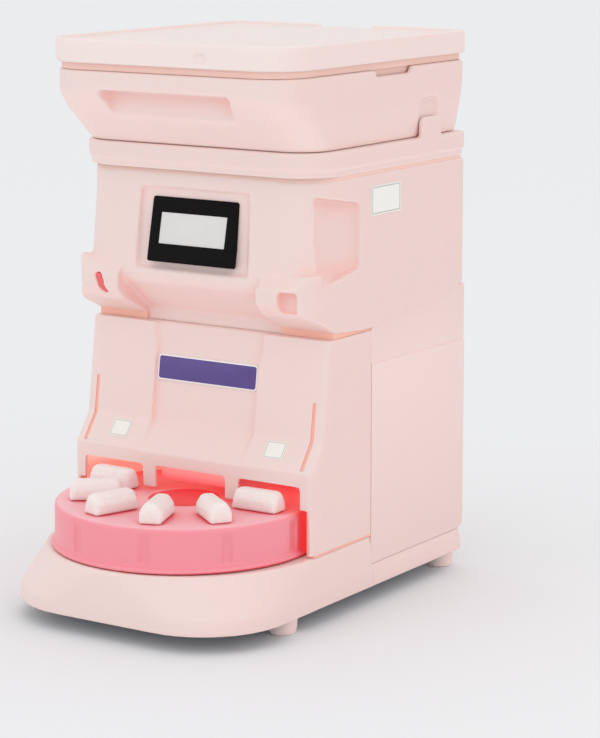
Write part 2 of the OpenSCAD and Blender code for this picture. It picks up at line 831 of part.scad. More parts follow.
module motor_shelf() {
    color(steel) difference() {
        block(-plate_x, plate_x, agitator_y - 32, agitator_y + 32, shelf_z, shelf_z + 4);
        translate([0, agitator_y, shelf_z - 1]) cylinder(h = 10, r = 9);
    }
}

module rice_chute() {
    top = frame_top - 7;
    low = feed_axis_z + 28;
    color(white_resin) difference() {
        union() {
            block(-hatch_x - 3, hatch_x + 3, drop_y - hatch_y - 3, drop_y + hatch_y + 3, low, top);
            block(-95, 95, drop_y - 51, drop_y + 51, top - 3, top);
        }
        block(-hatch_x - 0.5, hatch_x + 0.5, drop_y - hatch_y - 0.5, drop_y + hatch_y + 0.5,
            low - 1, top + 1);
    }
}

// Grooved feed roller with its shaft
module feed_roller(y, angle) {
    grooves = 12;
    color(white_resin) difference() {
        union() {
            rod_x(-78, 78, y, feed_axis_z, feed_r);
            rod_x(-gear_x, gear_x + gear_t + 2, y, feed_axis_z, shaft_r);
        }
        for (i = [0:grooves - 1]) translate([0, y, feed_axis_z]) rotate([angle + i * 360 / grooves, 0, 0])
            rod_x(-79, 79, feed_r + 1, 0, 4);
    }
}

module feed_roller_front() { feed_roller(drop_y - feed_gap / 2, 0); }

module feed_roller_rear() { feed_roller(drop_y + feed_gap / 2, 15); }

module feed_gear_front() {
    color(brass) gear_x_axis(feed_m, roller_teeth, drop_y - feed_gap / 2, feed_axis_z, 0);
}

module feed_gear_rear() {
    color(brass) gear_x_axis(feed_m, roller_teeth, drop_y + feed_gap / 2, feed_axis_z, 180 / roller_teeth);
}

// Motor pinion with its shaft end
module pinion(m, y, z) {
    color(steel) {
        translate([gear_x, y, z]) rotate([90, 0, 90]) linear_extrude(gear_t)
            gear_outline(m, pinion_teeth);
        rod_x(plate_x - 18, gear_x + 1, y, z, motor_shaft_r);
    }
}

// Gear motor on the inside of the right side frame
module gear_motor(y, z, r) {
    color(steel) difference() {
        union() {
            rod_x(plate_x - 93, plate_x - 4, y, z, r);
            block(plate_x - 4, plate_x, y - r, y + r, z - r - 3, z + r + 3);
        }
        rod_x(plate_x - 20, plate_x + 1, y, z, motor_shaft_r + running);
    }
}

module feed_pinion() { pinion(feed_m, feed_motor_y, feed_axis_z); }

module feed_motor() { gear_motor(feed_motor_y, feed_axis_z, 25); }

module forming_pinion() { pinion(form_m, form_motor_y, form_axis_z); }

module forming_motor() { gear_motor(form_motor_y, form_axis_z, 20); }

module feed_duct() {
    low = form_axis_z + 25;
    seat = feed_axis_z - 65;
    top = feed_axis_z - 32;
    color(white_resin) difference() {
        union() {
            block(-36, 36, drop_y - 20, drop_y + 20, low, seat);
            block(-plate_x, plate_x, drop_y - 48, drop_y + 48, seat, seat + 3);
            hull() {
                block(-36, 36, drop_y - 20, drop_y + 20, seat, seat + 1);
                block(-82, 82, drop_y - 42, drop_y + 42, top - 1, top);
            }
        }
        block(-33, 33, drop_y - 17, drop_y + 17, low - 1, seat + 2);
        hull() {
            block(-33, 33, drop_y - 17, drop_y + 17, seat, seat + 1);
            block(-80, 80, drop_y - 40, drop_y + 40, top, top + 1);
        }
    }
}

// Forming roller with four cavities that shape the rice
module forming_roller(y) {
    color(white_resin) difference() {
        union() {
            rod_x(-38, 38, y, form_axis_z, form_r);
            rod_x(-gear_x, gear_x + gear_t + 2, y, form_axis_z, shaft_r);
        }
        for (a = [0:90:270]) translate([0, y, form_axis_z]) rotate([a, 0, 0])
            block(-ball_l / 2, ball_l / 2, form_r - 8, form_r + 1, -9, 9);
    }
}

module forming_roller_front() { forming_roller(drop_y - form_gap / 2); }

module forming_roller_rear() { forming_roller(drop_y + form_gap / 2); }

module forming_gear_front() {
    color(brass) gear_x_axis(form_m, roller_teeth, drop_y - form_gap / 2, form_axis_z, 0);
}

module forming_gear_rear() {
    color(brass) gear_x_axis(form_m, roller_teeth, drop_y + form_gap / 2, form_axis_z, 180 / roller_teeth);
}

module roller_bearings() {
    color(steel) both() for (s = [-1, 1], p = [[drop_y + s * feed_gap / 2, feed_axis_z],
        [drop_y + s * form_gap / 2, form_axis_z]])
        difference() {
            rod_x(plate_x - 2, frame_x + 2, p[0], p[1], bearing_r);
            rod_x(plate_x - 3, frame_x + 3, p[0], p[1], shaft_r + running);
        }
}

module mould_block() {
    color(white_resin) difference() {
        union() {
            block(-52, 52, drop_y - 28, drop_y + 28, mould_z, mould_top);
            block(-plate_x, plate_x, drop_y - 20, drop_y + 24, mould_top - 20, mould_top - 14);
            block(-ball_cavity_l / 2 - 3, ball_cavity_l / 2 + 3, drop_y - ball_cavity_w / 2 - 3,
                drop_y + ball_cavity_w / 2 + 3, mould_low, mould_z + 1);
        }
        block(-ball_cavity_l / 2, ball_cavity_l / 2, drop_y - ball_cavity_w / 2,
            drop_y + ball_cavity_w / 2, mould_low - 1, mould_top + 1);
    }
}

module cutter_guides() {
    groove = cutter_t + 0.6;
    color(white_resin) both() difference() {
        block(42, 52, drop_y - 53, drop_y + 91, mould_top, cutter_z + 7);
        block(41, 48, drop_y - 54, drop_y + 92, cutter_z - 0.3, cutter_z - 0.3 + groove);
    }
}

module cutter_plate() {
    color(steel) {
        difference() {
            block(-47.7, 47.7, drop_y - 52, drop_y + 53, cutter_z, cutter_z + cutter_t);
            block(-ball_cavity_l / 2, ball_cavity_l / 2, drop_y - ball_cavity_w / 2,
                drop_y + ball_cavity_w / 2, cutter_z - 1, cutter_z + 5);
        }
        block(-8, 8, drop_y + 51, drop_y + 53, cutter_z - 3, cutter_z + 6);
        rod_y(0, drop_y + 52, actuator_y + 10, cutter_z + cutter_t / 2, rod_r);
    }
}

module cutter_actuator() {
    color(steel) difference() {
        union() {
            block(-15, 15, actuator_y, actuator_y + cutter_bore + 7, cutter_z - 12, cutter_z + 14);
            block(-plate_x, plate_x, actuator_y + 8, actuator_y + 44, cutter_z - 15, cutter_z - 12);
        }
        rod_y(0, actuator_y - 1, actuator_y + cutter_bore, cutter_z + cutter_t / 2, rod_r + running);
    }
}

module power_inlet() {
    face = panel_y + panel_t;
    color(dark) {
        difference() {
            union() {
                block(inlet_x - inlet_half, inlet_x + inlet_half, face - 26, face,
                    inlet_z - inlet_high, inlet_z + inlet_high);
                block(inlet_x - 24, inlet_x + 24, face, face + 2.5, inlet_z - 12.5, inlet_z + 12.5);
            }
            block(inlet_x - inlet_half + 2, inlet_x + inlet_half - 2, face - 16, face + 3,
                inlet_z - inlet_high + 2, inlet_z + inlet_high - 2);
        }
        for (p = [[-7, -1.5], [0, 2.5], [7, -1.5]])
            block(inlet_x + p[0] - 1, inlet_x + p[0] + 1, face - 17, face - 8, inlet_z + p[1] - 2,
                inlet_z + p[1] + 2);
    }
}

module power_switch() {
    face = panel_y + panel_t;
    color(dark) difference() {
        union() {
            block(inlet_x - switch_half, inlet_x + switch_half, face - 22, face,
                switch_z - switch_high, switch_z + switch_high);
            block(inlet_x - switch_half - 2, inlet_x + switch_half + 2, face, face + 2,
                switch_z - switch_high - 2, switch_z + switch_high + 2);
        }
        rod_x(inlet_x - 12, inlet_x + 12, rocker_y, switch_z, 9.4);
        block(inlet_x - 12, inlet_x + 12, rocker_y, face + 3, switch_z - 9.4, switch_z + 9.4);
    }
}

// Rocker, drawn in its off position
module power_rocker() {
    color([0.75, 0.15, 0.12]) translate([0, rocker_y, switch_z]) rotate([rocker_tilt, 0, 0]) {
        intersection() {
            rod_x(inlet_x - 11.6, inlet_x + 11.6, 0, 0, 9);
            side_prism([[-9, -9], [4.6, -9], [3.4, 0], [4.6, 9], [-9, 9]], inlet_x - 13, inlet_x + 13);
        }
        rod_x(inlet_x - 11.97, inlet_x + 11.97, 0, 0, 2);
    }
}

module fan() {
    y1 = panel_y;
    y0 = y1 - fan_depth;
    side = fan_size / 2;
    outer = panel_y + panel_t;
    color(dark) {
        difference() {
            block(fan_x - side, fan_x + side, y0, y1, fan_z - side, fan_z + side);
            rod_y(fan_x, y0 + 3, y1 + 1, fan_z, side - 2.5);
            difference() {
                rod_y(fan_x, y0 - 1, y0 + 4, fan_z, side - 4);
                rod_y(fan_x, y0 - 2, y0 + 5, fan_z, 14);
                block(fan_x - side, fan_x + side, y0 - 2, y0 + 5, fan_z - 2.5, fan_z + 2.5);
                block(fan_x - 2.5, fan_x + 2.5, y0 - 2, y0 + 5, fan_z - side, fan_z + side);
            }
            rod_y(fan_x, y0 - 1, y0 + 5, fan_z, 3 + running);
        }
        difference() {
            rod_y(fan_x, outer, outer + 2, fan_z, side + 1);
            for (r = [[10, 18], [21, 28], [31, 38]]) difference() {
                rod_y(fan_x, outer - 1, outer + 3, fan_z, r[1]);
                rod_y(fan_x, outer - 2, outer + 4, fan_z, r[0]);
                for (a = [0, 60, 120]) translate([fan_x, 0, fan_z]) rotate([0, a, 0])
                    block(-41, 41, outer - 2, outer + 4, -1.5, 1.5);
            }
        }
    }
}

module fan_rotor() {
    y0 = panel_y - 21;
    color(dark) translate([fan_x, 0, fan_z]) {
        rod_y(0, y0, y0 + 18, 0, 15);
        rod_y(0, y0 - 4, y0 + 1, 0, 3);
        for (i = [0:6]) rotate([0, i * 360 / 7, 0]) translate([13, y0 + 9, 0]) rotate([38, 0, 0])
            block(0, 23, -9.5, 9.5, -1, 1);
    }
}

// Control board on the rear panel and power supply on the bottom plate
module electronics() {
    board_y = panel_y - 26;
    low = base_rear_z + 118;
    color([0.18, 0.40, 0.25]) {
        block(-85, 85, board_y, board_y + 2, low, low + 180);
        for (x = [-78, 78], z = [low + 8, low + 172]) rod_y(x, board_y + 1, panel_y, z, 3);
        for (p = [[-60, 30, 30, 22], [-10, 20, 46, 40], [50, 60, 24, 60], [-50, 110, 50, 40],
            [30, 140, 40, 26]])
            block(p[0] - p[2] / 2, p[0] + p[2] / 2, board_y - 12, board_y + 1, low + p[1],
                low + p[1] + p[3]);
    }
    color(steel) block(-80, 80, seam_y + 59, rear_y - 62, foot_h + 2, foot_h + 52);
}

base_tray();
feet();
bottom_plate();
side_frame_left();
side_frame_right();
tie_bars();
turntable();
turntable_spindle();
turntable_bearing();
turntable_gear();
turntable_pinion();
turntable_motor();
rice_balls();
bay_liner();
front_cover();
brand_plate();
cover_labels();
side_cover_left();
side_cover_right();
rear_panel();
rear_screws();
head_cover();
side_label();
panel_bezel();
panel_screen();
panel_housing();
hopper_frame();
frame_seal();
hopper_bowl();
lid();
lid_seal();
agitator();
agitator_drive();
agitator_motor();
motor_shelf();
rice_chute();
feed_roller_front();
feed_roller_rear();
feed_gear_front();
feed_gear_rear();
feed_pinion();
feed_motor();
feed_duct();
forming_roller_front();
forming_roller_rear();
forming_gear_front();
forming_gear_rear();
forming_pinion();
forming_motor();
roller_bearings();
cutter_plate();
cutter_guides();
cutter_actuator();
mould_block();
power_inlet();
power_switch();
power_rocker();
fan();
fan_rotor();
electronics();
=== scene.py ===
import math

import bmesh
import bpy
from mathutils import Matrix, Vector


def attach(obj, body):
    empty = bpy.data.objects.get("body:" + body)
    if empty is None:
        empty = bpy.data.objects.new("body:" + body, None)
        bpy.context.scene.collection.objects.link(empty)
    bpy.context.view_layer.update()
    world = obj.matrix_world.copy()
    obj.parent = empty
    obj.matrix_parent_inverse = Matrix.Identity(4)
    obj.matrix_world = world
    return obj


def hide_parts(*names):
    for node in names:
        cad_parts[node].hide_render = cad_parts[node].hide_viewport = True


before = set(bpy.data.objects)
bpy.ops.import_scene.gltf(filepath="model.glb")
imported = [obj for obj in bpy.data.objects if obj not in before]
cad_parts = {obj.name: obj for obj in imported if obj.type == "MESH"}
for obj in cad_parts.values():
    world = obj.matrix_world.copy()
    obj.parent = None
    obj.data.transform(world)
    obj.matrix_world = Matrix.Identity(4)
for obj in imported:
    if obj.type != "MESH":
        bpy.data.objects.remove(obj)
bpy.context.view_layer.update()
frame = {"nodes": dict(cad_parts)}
nodes = frame["nodes"]

# The base tray is moulded in the same pale pink resin as the covers. Its rounded nose flares down
# from the turntable, a lower strip runs on under the rear half, and a joint shows between them.
MM = 0.001
half = 170  # half the width of the body, in mm as all sizes below
seam_y = 41  # joint between the front cover's part and the rear part
rear_y = 257
table_y = -97  # axis of the turntable
pinion_y = -21.9


def box(x0, x1, y0, y1, z0, z1):
    """Block between two corners, in mm."""
    bm = bmesh.new()
    size = Matrix.Diagonal(((x1 - x0) * MM, (y1 - y0) * MM, (z1 - z0) * MM, 1))
    middle = Vector((x0 + x1, y0 + y1, z0 + z1)) * MM / 2
    bmesh.ops.create_cube(bm, size=1, matrix=Matrix.Translation(middle) @ size)
    return bm


def bar(axis, points, low, high):
    """Outline drawn across an axis and pulled out along it, in mm."""
    bm = bmesh.new()
    spot = {"x": lambda a, b: (low, a, b), "y": lambda a, b: (a, low, b),
            "z": lambda a, b: (a, b, low)}
    face = bm.faces.new([bm.verts.new(Vector(spot[axis](*p)) * MM) for p in points])
    pulled = bmesh.ops.extrude_face_region(bm, geom=[face])["geom"]
    way = Vector([(high - low) * MM * (a == axis) for a in "xyz"])
    bmesh.ops.translate(bm, vec=way, verts=[v for v in pulled if isinstance(v, bmesh.types.BMVert)])
    bmesh.ops.recalc_face_normals(bm, faces=bm.faces)
    return bm


def turned(points, steps=64, centre=(0, 0)):
    """Body of revolution from (radius, height) points, in mm."""
    bm = bmesh.new()
    verts = [bm.verts.new((r * MM, 0, z * MM)) for r, z in points]
    edges = [bm.edges.new(pair) for pair in zip(verts, verts[1:])]
    bmesh.ops.spin(bm, geom=verts + edges, cent=(0, 0, 0), axis=(0, 0, 1), angle=2 * math.pi,
                   steps=steps, use_merge=True)
    bmesh.ops.remove_doubles(bm, verts=bm.verts, dist=1e-6)
    bmesh.ops.recalc_face_normals(bm, faces=bm.faces)
    bmesh.ops.translate(bm, vec=Vector((*centre, 0)) * MM, verts=bm.verts)
    return bm


def rim(bm, half, front, rear, z, front_r, rear_r):
    """Level face: a rectangle with rounded front and rear corners, in mm."""
    corners = [(-half, front), (half, front), (half, rear), (-half, rear)]
    face = bm.faces.new([bm.verts.new(Vector((x, y, z)) * MM) for x, y in corners])
    ends = [v for v in face.verts if v.co.y > (front + rear) / 2 * MM]
    starts = [v for v in face.verts if v not in ends]
    for verts, radius in ((starts, front_r), (ends, rear_r)):
        bmesh.ops.bevel(bm, geom=verts, offset=radius * MM, segments=12, affect="VERTICES",
                        profile=0.5, material=-1)
    return max((f for f in bm.faces if abs(f.calc_center_median().z - z * MM) < 1e-6),
               key=lambda f: f.calc_area())


def loft(*levels):
    """Closed body through rounded rectangles, each (half, front, rear, z, front_r, rear_r)."""
    bm = bmesh.new()
    last = []
    for i, level in enumerate(levels):
        face = rim(bm, *level)
        edges = list(face.edges)
        if last:
            bmesh.ops.bridge_loops(bm, edges=last + edges)
        if 0 < i < len(levels) - 1:
            bm.faces.remove(face)
        last = edges
    bmesh.ops.recalc_face_normals(bm, faces=bm.faces)
    return bm


def made(name, bm):
    """Object from a bmesh."""
    mesh = bpy.data.meshes.new(name)
    bm.to_mesh(mesh)
    bm.free()
    piece = bpy.data.objects.new(name, mesh)
    bpy.context.scene.collection.objects.link(piece)
    return piece


def settled(piece):
    """The piece with its modifiers made part of its mesh."""
    seen = piece.evaluated_get(bpy.context.evaluated_depsgraph_get())
    mesh = bpy.data.meshes.new_from_object(seen)
    piece.modifiers.clear()
    piece.data = mesh
    return piece


def with_tools(piece, operation, tools):
    """The piece joined with, cut by or shared with each bmesh in turn."""
    for tool in tools:
        other = made("tool", tool)
        step = piece.modifiers.new("tool", "BOOLEAN")
        step.operation, step.object, step.solver = operation, other, "EXACT"
        settled(piece)
        bpy.data.objects.remove(other)
    return piece


def carved(operation, body, *tools):
    """Bmesh that is left of a body after its tools."""
    piece = with_tools(made("carved", body), operation, tools)
    bm = bmesh.new()
    bm.from_mesh(piece.data)
    bpy.data.objects.remove(piece)
    return bm


def both(*shapes):
    """Each bmesh and its mirror image on the other side."""
    pairs = []
    for shape in shapes:
        other = shape.copy()
        bmesh.ops.scale(other, vec=(-1, 1, 1), verts=other.verts)
        bmesh.ops.reverse_faces(other, faces=other.faces)
        pairs += [shape, other]
    return pairs


def smooth(piece, crisp=40):
    """Rounded shading that breaks at the sharp edges."""
    piece.data.shade_smooth()
    piece.data.set_sharp_from_angle(angle=math.radians(crisp))
    return piece


def moulded(name, body, joins=(), cuts=(), late_cuts=(), late_joins=(), voxel=2.0, soften=6):
    """Moulded skin: joined bodies less their cuts with soft edges, then the cuts that stay crisp."""
    piece = made(name, body)
    with_tools(piece, "UNION", joins)
    with_tools(piece, "DIFFERENCE", cuts)
    step = piece.modifiers.new("skin", "REMESH")
    step.mode, step.voxel_size, step.adaptivity = "VOXEL", voxel * MM, 0
    step = piece.modifiers.new("soft", "SMOOTH")
    step.factor, step.iterations = 0.5, soften
    settled(piece)
    with_tools(piece, "UNION", late_joins)
    with_tools(piece, "DIFFERENCE", late_cuts)
    return smooth(piece)


def rgb(red, green, blue):
    """Colour as a screen shows it, 0 to 255, made linear."""
    return tuple((c / 12.92 if c <= 0.04045 else ((c + 0.055) / 1.055) ** 2.4)
                 for c in (red / 255, green / 255, blue / 255)) + (1,)


class Wire:
    """A shader socket that can be used in sums."""

    def __init__(self, nodes, socket):
        self.nodes, self.socket = nodes, socket

    def sum(self, operation, *values):
        return self.nodes.node("Math", {"operation": operation}, dict(enumerate(values)))

    def __add__(self, other): return self.sum("ADD", self, other)
    def __radd__(self, other): return self.sum("ADD", other, self)
    def __sub__(self, other): return self.sum("SUBTRACT", self, other)
    def __rsub__(self, other): return self.sum("SUBTRACT", other, self)
    def __mul__(self, other): return self.sum("MULTIPLY", self, other)
    def __rmul__(self, other): return self.sum("MULTIPLY", other, self)
    def __truediv__(self, other): return self.sum("DIVIDE", self, other)
    def __abs__(self): return self.sum("ABSOLUTE", self)

    def clamp(self, low=0.0, high=1.0):
        return self.sum("MAXIMUM", self.sum("MINIMUM", self, high), low)


class Nodes:
    """A node tree: one method adds any node with its settings and its sockets' values or links."""

    def __init__(self, tree):
        self.tree = tree

    def node(self, kind, settings=None, sockets=None, out=0):
        node = self.tree.nodes.new("ShaderNode" + kind)
        for name, value in (settings or {}).items():
            setattr(node, name, value)
        for name, value in (sockets or {}).items():
            if isinstance(value, Wire):
                self.tree.links.new(value.socket, node.inputs[name])
            else:
                node.inputs[name].default_value = value
        return Wire(self, node.outputs[out])


class Finish(Nodes):
    """A material on one Principled shader; what stays the same is set on its sockets."""

    def __init__(self, name, colour, **steady):
        self.material = bpy.data.materials.new(name)
        self.material.use_nodes = True
        super().__init__(self.material.node_tree)
        self.shader = self.tree.nodes["Principled BSDF"]
        self.shader.inputs["Base Color"].default_value = rgb(*colour)
        for socket, value in steady.items():
            self.shader.inputs[socket.replace("_", " ")].default_value = value

    def axis(self, letter):
        place = self.node("TexCoord", out="Object")
        return self.node("SeparateXYZ", sockets={0: place}, out=letter)

    def noise(self, scale, detail=2.0, stretch=None):
        place = self.node("TexCoord", out="Object")
        if stretch:
            place = self.node("Mapping", sockets={0: place, "Scale": stretch})
        return self.node("TexNoise", sockets={"Vector": place, "Scale": scale, "Detail": detail})

    def mix(self, factor, one, other):
        return self.node("Mix", {"data_type": "RGBA"}, {0: factor, 6: one, 7: other}, out=2)

    def feed(self, socket, wire):
        self.tree.links.new(wire.socket, self.shader.inputs[socket])

    def bump(self, height, strength, distance):
        self.feed("Normal", self.node("Bump", sockets={"Strength": strength, "Distance": distance,
                                                      "Height": height}))


def finished(piece, finish, body, slot, *replaced):
    """Gives a piece its finish, the body it rides on and the CAD nodes it stands for."""
    piece.data.materials.clear()
    piece.data.materials.append(finish.material)
    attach(piece, body)
    if replaced:
        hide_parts(*replaced)


def resin(name, colour, shade, roughness=0.42, gain=1.1, painted_side_shade=None, under=None):
    """Moulded resin: slightly clouded colour, painted shade in the hollows, painted side shade and
    underside light where given, and a painted highlight on sharp edges.
    """
    f = Finish(name, colour, IOR=1.46, Subsurface_Weight=0.12, Subsurface_Radius=(1.0, 0.42, 0.32),
               Subsurface_Scale=0.006)
    tone = f.mix(f.noise(9, 3), rgb(*[c - 2 for c in colour]), rgb(*[min(255, c + 1) for c in colour]))
    hollow = 1 - f.node("AmbientOcclusion", {"only_local": True, "samples": 8}, {"Distance": 0.03},
                        out="AO")
    facing = f.node("NewGeometry", out="Normal")
    # Painted shade: faces turned to the sides are tinted pinker.
    if painted_side_shade:
        across = f.node("SeparateXYZ", sockets={0: facing}, out="X")
        tone = f.mix((abs(across) * 2 - 1).clamp(), tone, rgb(*painted_side_shade))
    # Painted light: faces turned downwards are made paler, standing in for light they lack.
    if under:
        upwards = f.node("SeparateXYZ", sockets={0: facing}, out="Z")
        tone = f.mix((upwards * -1.6 - 0.1).clamp(), tone, rgb(*under))
    # Painted shade: hollows found by occlusion are tinted towards the shade colour.
    tone = f.mix((hollow * gain - 0.08).clamp(0, 0.8), tone, rgb(*shade))
    # Painted highlight: sharp edges, found by pointiness, are made paler.
    edge = f.node("NewGeometry", out="Pointiness")
    tone = f.mix(((edge - 0.52) * 4).clamp(0, 0.6), tone, rgb(*[min(255, c + 11) for c in colour]))
    f.feed("Base Color", tone)
    f.feed("Roughness", f.noise(120, 2) * 0.1 + (roughness - 0.05))
    f.bump(f.noise(1500, 2) + f.noise(260, 1) * 0.6, 0.08, 0.0004)
    return f


# Its shade colour is painted shade in the hollows, its side colour painted side shade and its
# underside colour painted light.
cover_resin = resin("cover resin", (238, 216, 211), (255, 200, 192), gain=1.9, painted_side_shade=(238, 209, 204),
                    under=(255, 228, 222))


def skirt(inset, rear, *levels):
    """The nose through levels of (height, half width, front, corner radius)."""
    return loft(*[(half - inset, front + inset, rear, z, corner - inset, 1)
                  for z, half, front, corner in levels])


nose = skirt(0, seam_y, (20, 173.4, -256.8, 104), (24, 173.8, -257, 104), (38, 173.6, -257, 108),
             (59, 171.8, -255.8, 138), (80, 170, -254.6, 169), (82, 169.8, -254.4, 168.8))
under_nose = skirt(5, 45, (10, 173.4, -256.8, 104), (38, 173.4, -256.8, 108), (59, 171.8, -255.8, 138),
                   (77.5, 170, -254.6, 168))
strip = loft((173.4, 35, 256.6, 20, 2, 12), (173.8, 35, rear_y, 24, 2, 12),
             (172.4, 35, 256.9, 35, 2, 13), (169.8, 35, 256.6, 47.6, 2, 14))
under_strip = loft((168, 33, 252, 10, 2, 8), (168, 33, 252, 30, 2, 8), (165, 33, 252, 43, 2, 9))
shaft_holes = [turned([(0, 60), (r, 60), (r, 95), (0, 95)], 48, (0, y))
               for r, y in ((36.3, table_y), (9, pinion_y))]
rear_opening = box(-122, 122, 55, 215, 15, 90)
joint_groove = box(169.2, 180, seam_y - 0.3, seam_y + 0.3, 15, 90)
base_tray = moulded("base_tray_skin", nose, joins=[strip], voxel=2.4, soften=5,
                    late_cuts=[under_nose, under_strip, rear_opening, *shaft_holes,
                               *both(joint_groove)])
finished(base_tray, cover_resin, "machine", "cover", "base_tray")

# Four short feet are moulded with the base tray and stand on the table. Their lower edges are
# rounded and carry no rubber.
def merged(shapes):
    """Separate closed shapes in one bmesh."""
    bm = bmesh.new()
    for shape in shapes:
        mesh = bpy.data.meshes.new("part")
        shape.to_mesh(mesh)
        bm.from_mesh(mesh)
        bpy.data.meshes.remove(mesh)
        shape.free()
    return bm


foot_profile = [(0, 0), (11.5, 0), (14.6, 0.8), (16, 3), (16.7, 9), (17.6, 20.5), (0, 20.5)]
foot_spots = [(x, y) for x in (-150, 150) for y in (-117, 235)]
feet = made("feet_skin", merged([turned(foot_profile, 48, spot) for spot in foot_spots]))
finished(smooth(feet), cover_resin, "machine", "cover", "feet")

# The bottom plate, two frame plates and their tie bars are zinc-plated sheet steel and bar, screwed
# to the base tray. They carry the rollers, the motors and the shelf for the agitator motor.
steel = Finish("plated steel", (186, 188, 192), Metallic=1.0)
grain = steel.noise(60, 4, stretch=(1, 1, 30))
steel.feed("Base Color", steel.mix(grain, rgb(166, 169, 174), rgb(204, 206, 210)))
steel.feed("Roughness", grain * 0.25 + 0.24)
steel.bump(grain, 0.12, 0.0003)


def coat(finish, *names):
    """Puts a finish on CAD nodes that keep their shape."""
    for name in names:
        for slot in nodes[name].material_slots:
            slot.material = finish.material


coat(steel, "bottom_plate", "side_frame_left", "side_frame_right", "tie_bars", "motor_shelf")

# The turntable runs on a ground steel spindle in a flanged bearing. A brass gear on the spindle
# meshes with the pinion of a gear motor that hangs under the deck.
ground = Finish("ground steel", (205, 207, 210), Metallic=1.0)
ground.feed("Base Color", ground.mix(ground.noise(90, 3), rgb(196, 198, 202), rgb(214, 216, 219)))
ground.feed("Roughness", ground.noise(400, 2, stretch=(1, 1, 12)) * 0.2 + 0.14)
ground.bump(ground.noise(900, 2), 0.05, 0.0002)
brass = Finish("gear brass", (196, 164, 92), Metallic=1.0)
brass.feed("Base Color", brass.mix(brass.noise(90, 3), rgb(184, 148, 80), rgb(212, 182, 110)))
brass.feed("Roughness", brass.noise(300, 2) * 0.2 + 0.26)
motor_paint = Finish("motor can paint", (120, 124, 130), Metallic=0.6)
motor_paint.feed("Base Color", motor_paint.mix(motor_paint.noise(40, 3), rgb(104, 108, 114),
                                               rgb(136, 140, 146)))
motor_paint.feed("Roughness", motor_paint.noise(500, 2) * 0.2 + 0.35)
motor_paint.bump(motor_paint.noise(1200, 2), 0.1, 0.0003)
coat(ground, "turntable_spindle", "turntable_bearing", "roller_bearings", "agitator_drive",
     "turntable_pinion", "feed_pinion", "forming_pinion")
coat(brass, "turntable_gear", "feed_gear_front", "feed_gear_rear", "forming_gear_front",
     "forming_gear_rear")
coat(motor_paint, "turntable_motor", "agitator_motor", "feed_motor", "forming_motor",
     "cutter_actuator")

# The turntable is one moulding in strong pink resin: a drum with a softly rounded top edge, ten
# narrow flutes up its wall, a thin flange at its foot and a shallow disc let into its middle, whose
# deep red colour is painted shade. It lifts onto the spindle.
wall_r, table_top, shade_disc_r, bore_r = 152, 134, 42.7, 10.05
flute_count, flute_depth, flute_low, flute_high = 10, 2.2, 92, 128
flute_flat, flute_side = 3.5, 4.5  # half the width of a flute's floor, and the width of its side
table_profile = [(0, 132.9), (42, 132.9), (42.6, 133.1), (43, table_top), (60, table_top),
                 (110, table_top), (146, table_top), (148.4, 133.7), (150.2, 132.8), (151.3, 131.4),
                 (151.7, 129.6), (151.8, 127), (wall_r, 123), (wall_r, 110), (wall_r, 99),
                 (wall_r, 95), (wall_r, 92.6), (152.3, 91), (153.2, 89.8), (154.4, 89), (155.5, 88),
                 (156, 86.4), (155.8, 84.6), (154.6, 83.5), (149, 83.5), (148, 84.5), (148, 130),
                 (22, 130), (22, 104), (bore_r, 104), (bore_r, 126), (0, 126)]
drum = turned(table_profile, steps=720)
pitch = 360 / flute_count
for v in drum.verts:
    radius, height = math.hypot(v.co.x, v.co.y) / MM, v.co.z / MM
    if radius > wall_r - 1 and flute_low < height < flute_high:
        turn = (math.degrees(math.atan2(v.co.y, v.co.x)) + pitch / 2) % pitch - pitch / 2
        away = min(1, max(0, (math.radians(abs(turn)) * wall_r - flute_flat) / flute_side))
        fade = min(1, (height - flute_low) / 3, (flute_high - height) / 4)
        depth = flute_depth * fade * (1 - away * away * (3 - 2 * away))
        v.co.x *= 1 - depth / wall_r
        v.co.y *= 1 - depth / wall_r
bmesh.ops.translate(drum, vec=(0, table_y * MM, 0), verts=drum.verts)
table_resin = resin("table resin", (246, 148, 160), (238, 84, 104), 0.36)
tone = Wire(table_resin, table_resin.shader.inputs["Base Color"].links[0].from_socket)
# Painted light: the top face is made paler than the wall.
painted_top_light = ((table_resin.axis("Z") - (table_top - 1.5) * MM) / 0.0014).clamp()
tone = table_resin.mix(painted_top_light, tone, rgb(250, 184, 192))
shaded = 1 - table_resin.node("AmbientOcclusion", {"samples": 8}, {"Distance": 0.05}, out="AO")
tone = table_resin.mix((shaded * 2.4 - 0.45).clamp(0, 0.95), tone, rgb(246, 72, 86))
across, fore = table_resin.axis("X"), table_resin.axis("Y") - table_y * MM
# Painted shade: a deep red disc in the middle of the top.
middle = (((shade_disc_r * MM) ** 2 - across * across - fore * fore) * 4e4).clamp()
table_resin.feed("Base Color", table_resin.mix(middle, tone, rgb(240, 60, 74)))
finished(smooth(made("turntable_skin", drum), 50), table_resin, "turntable", "table", "turntable")

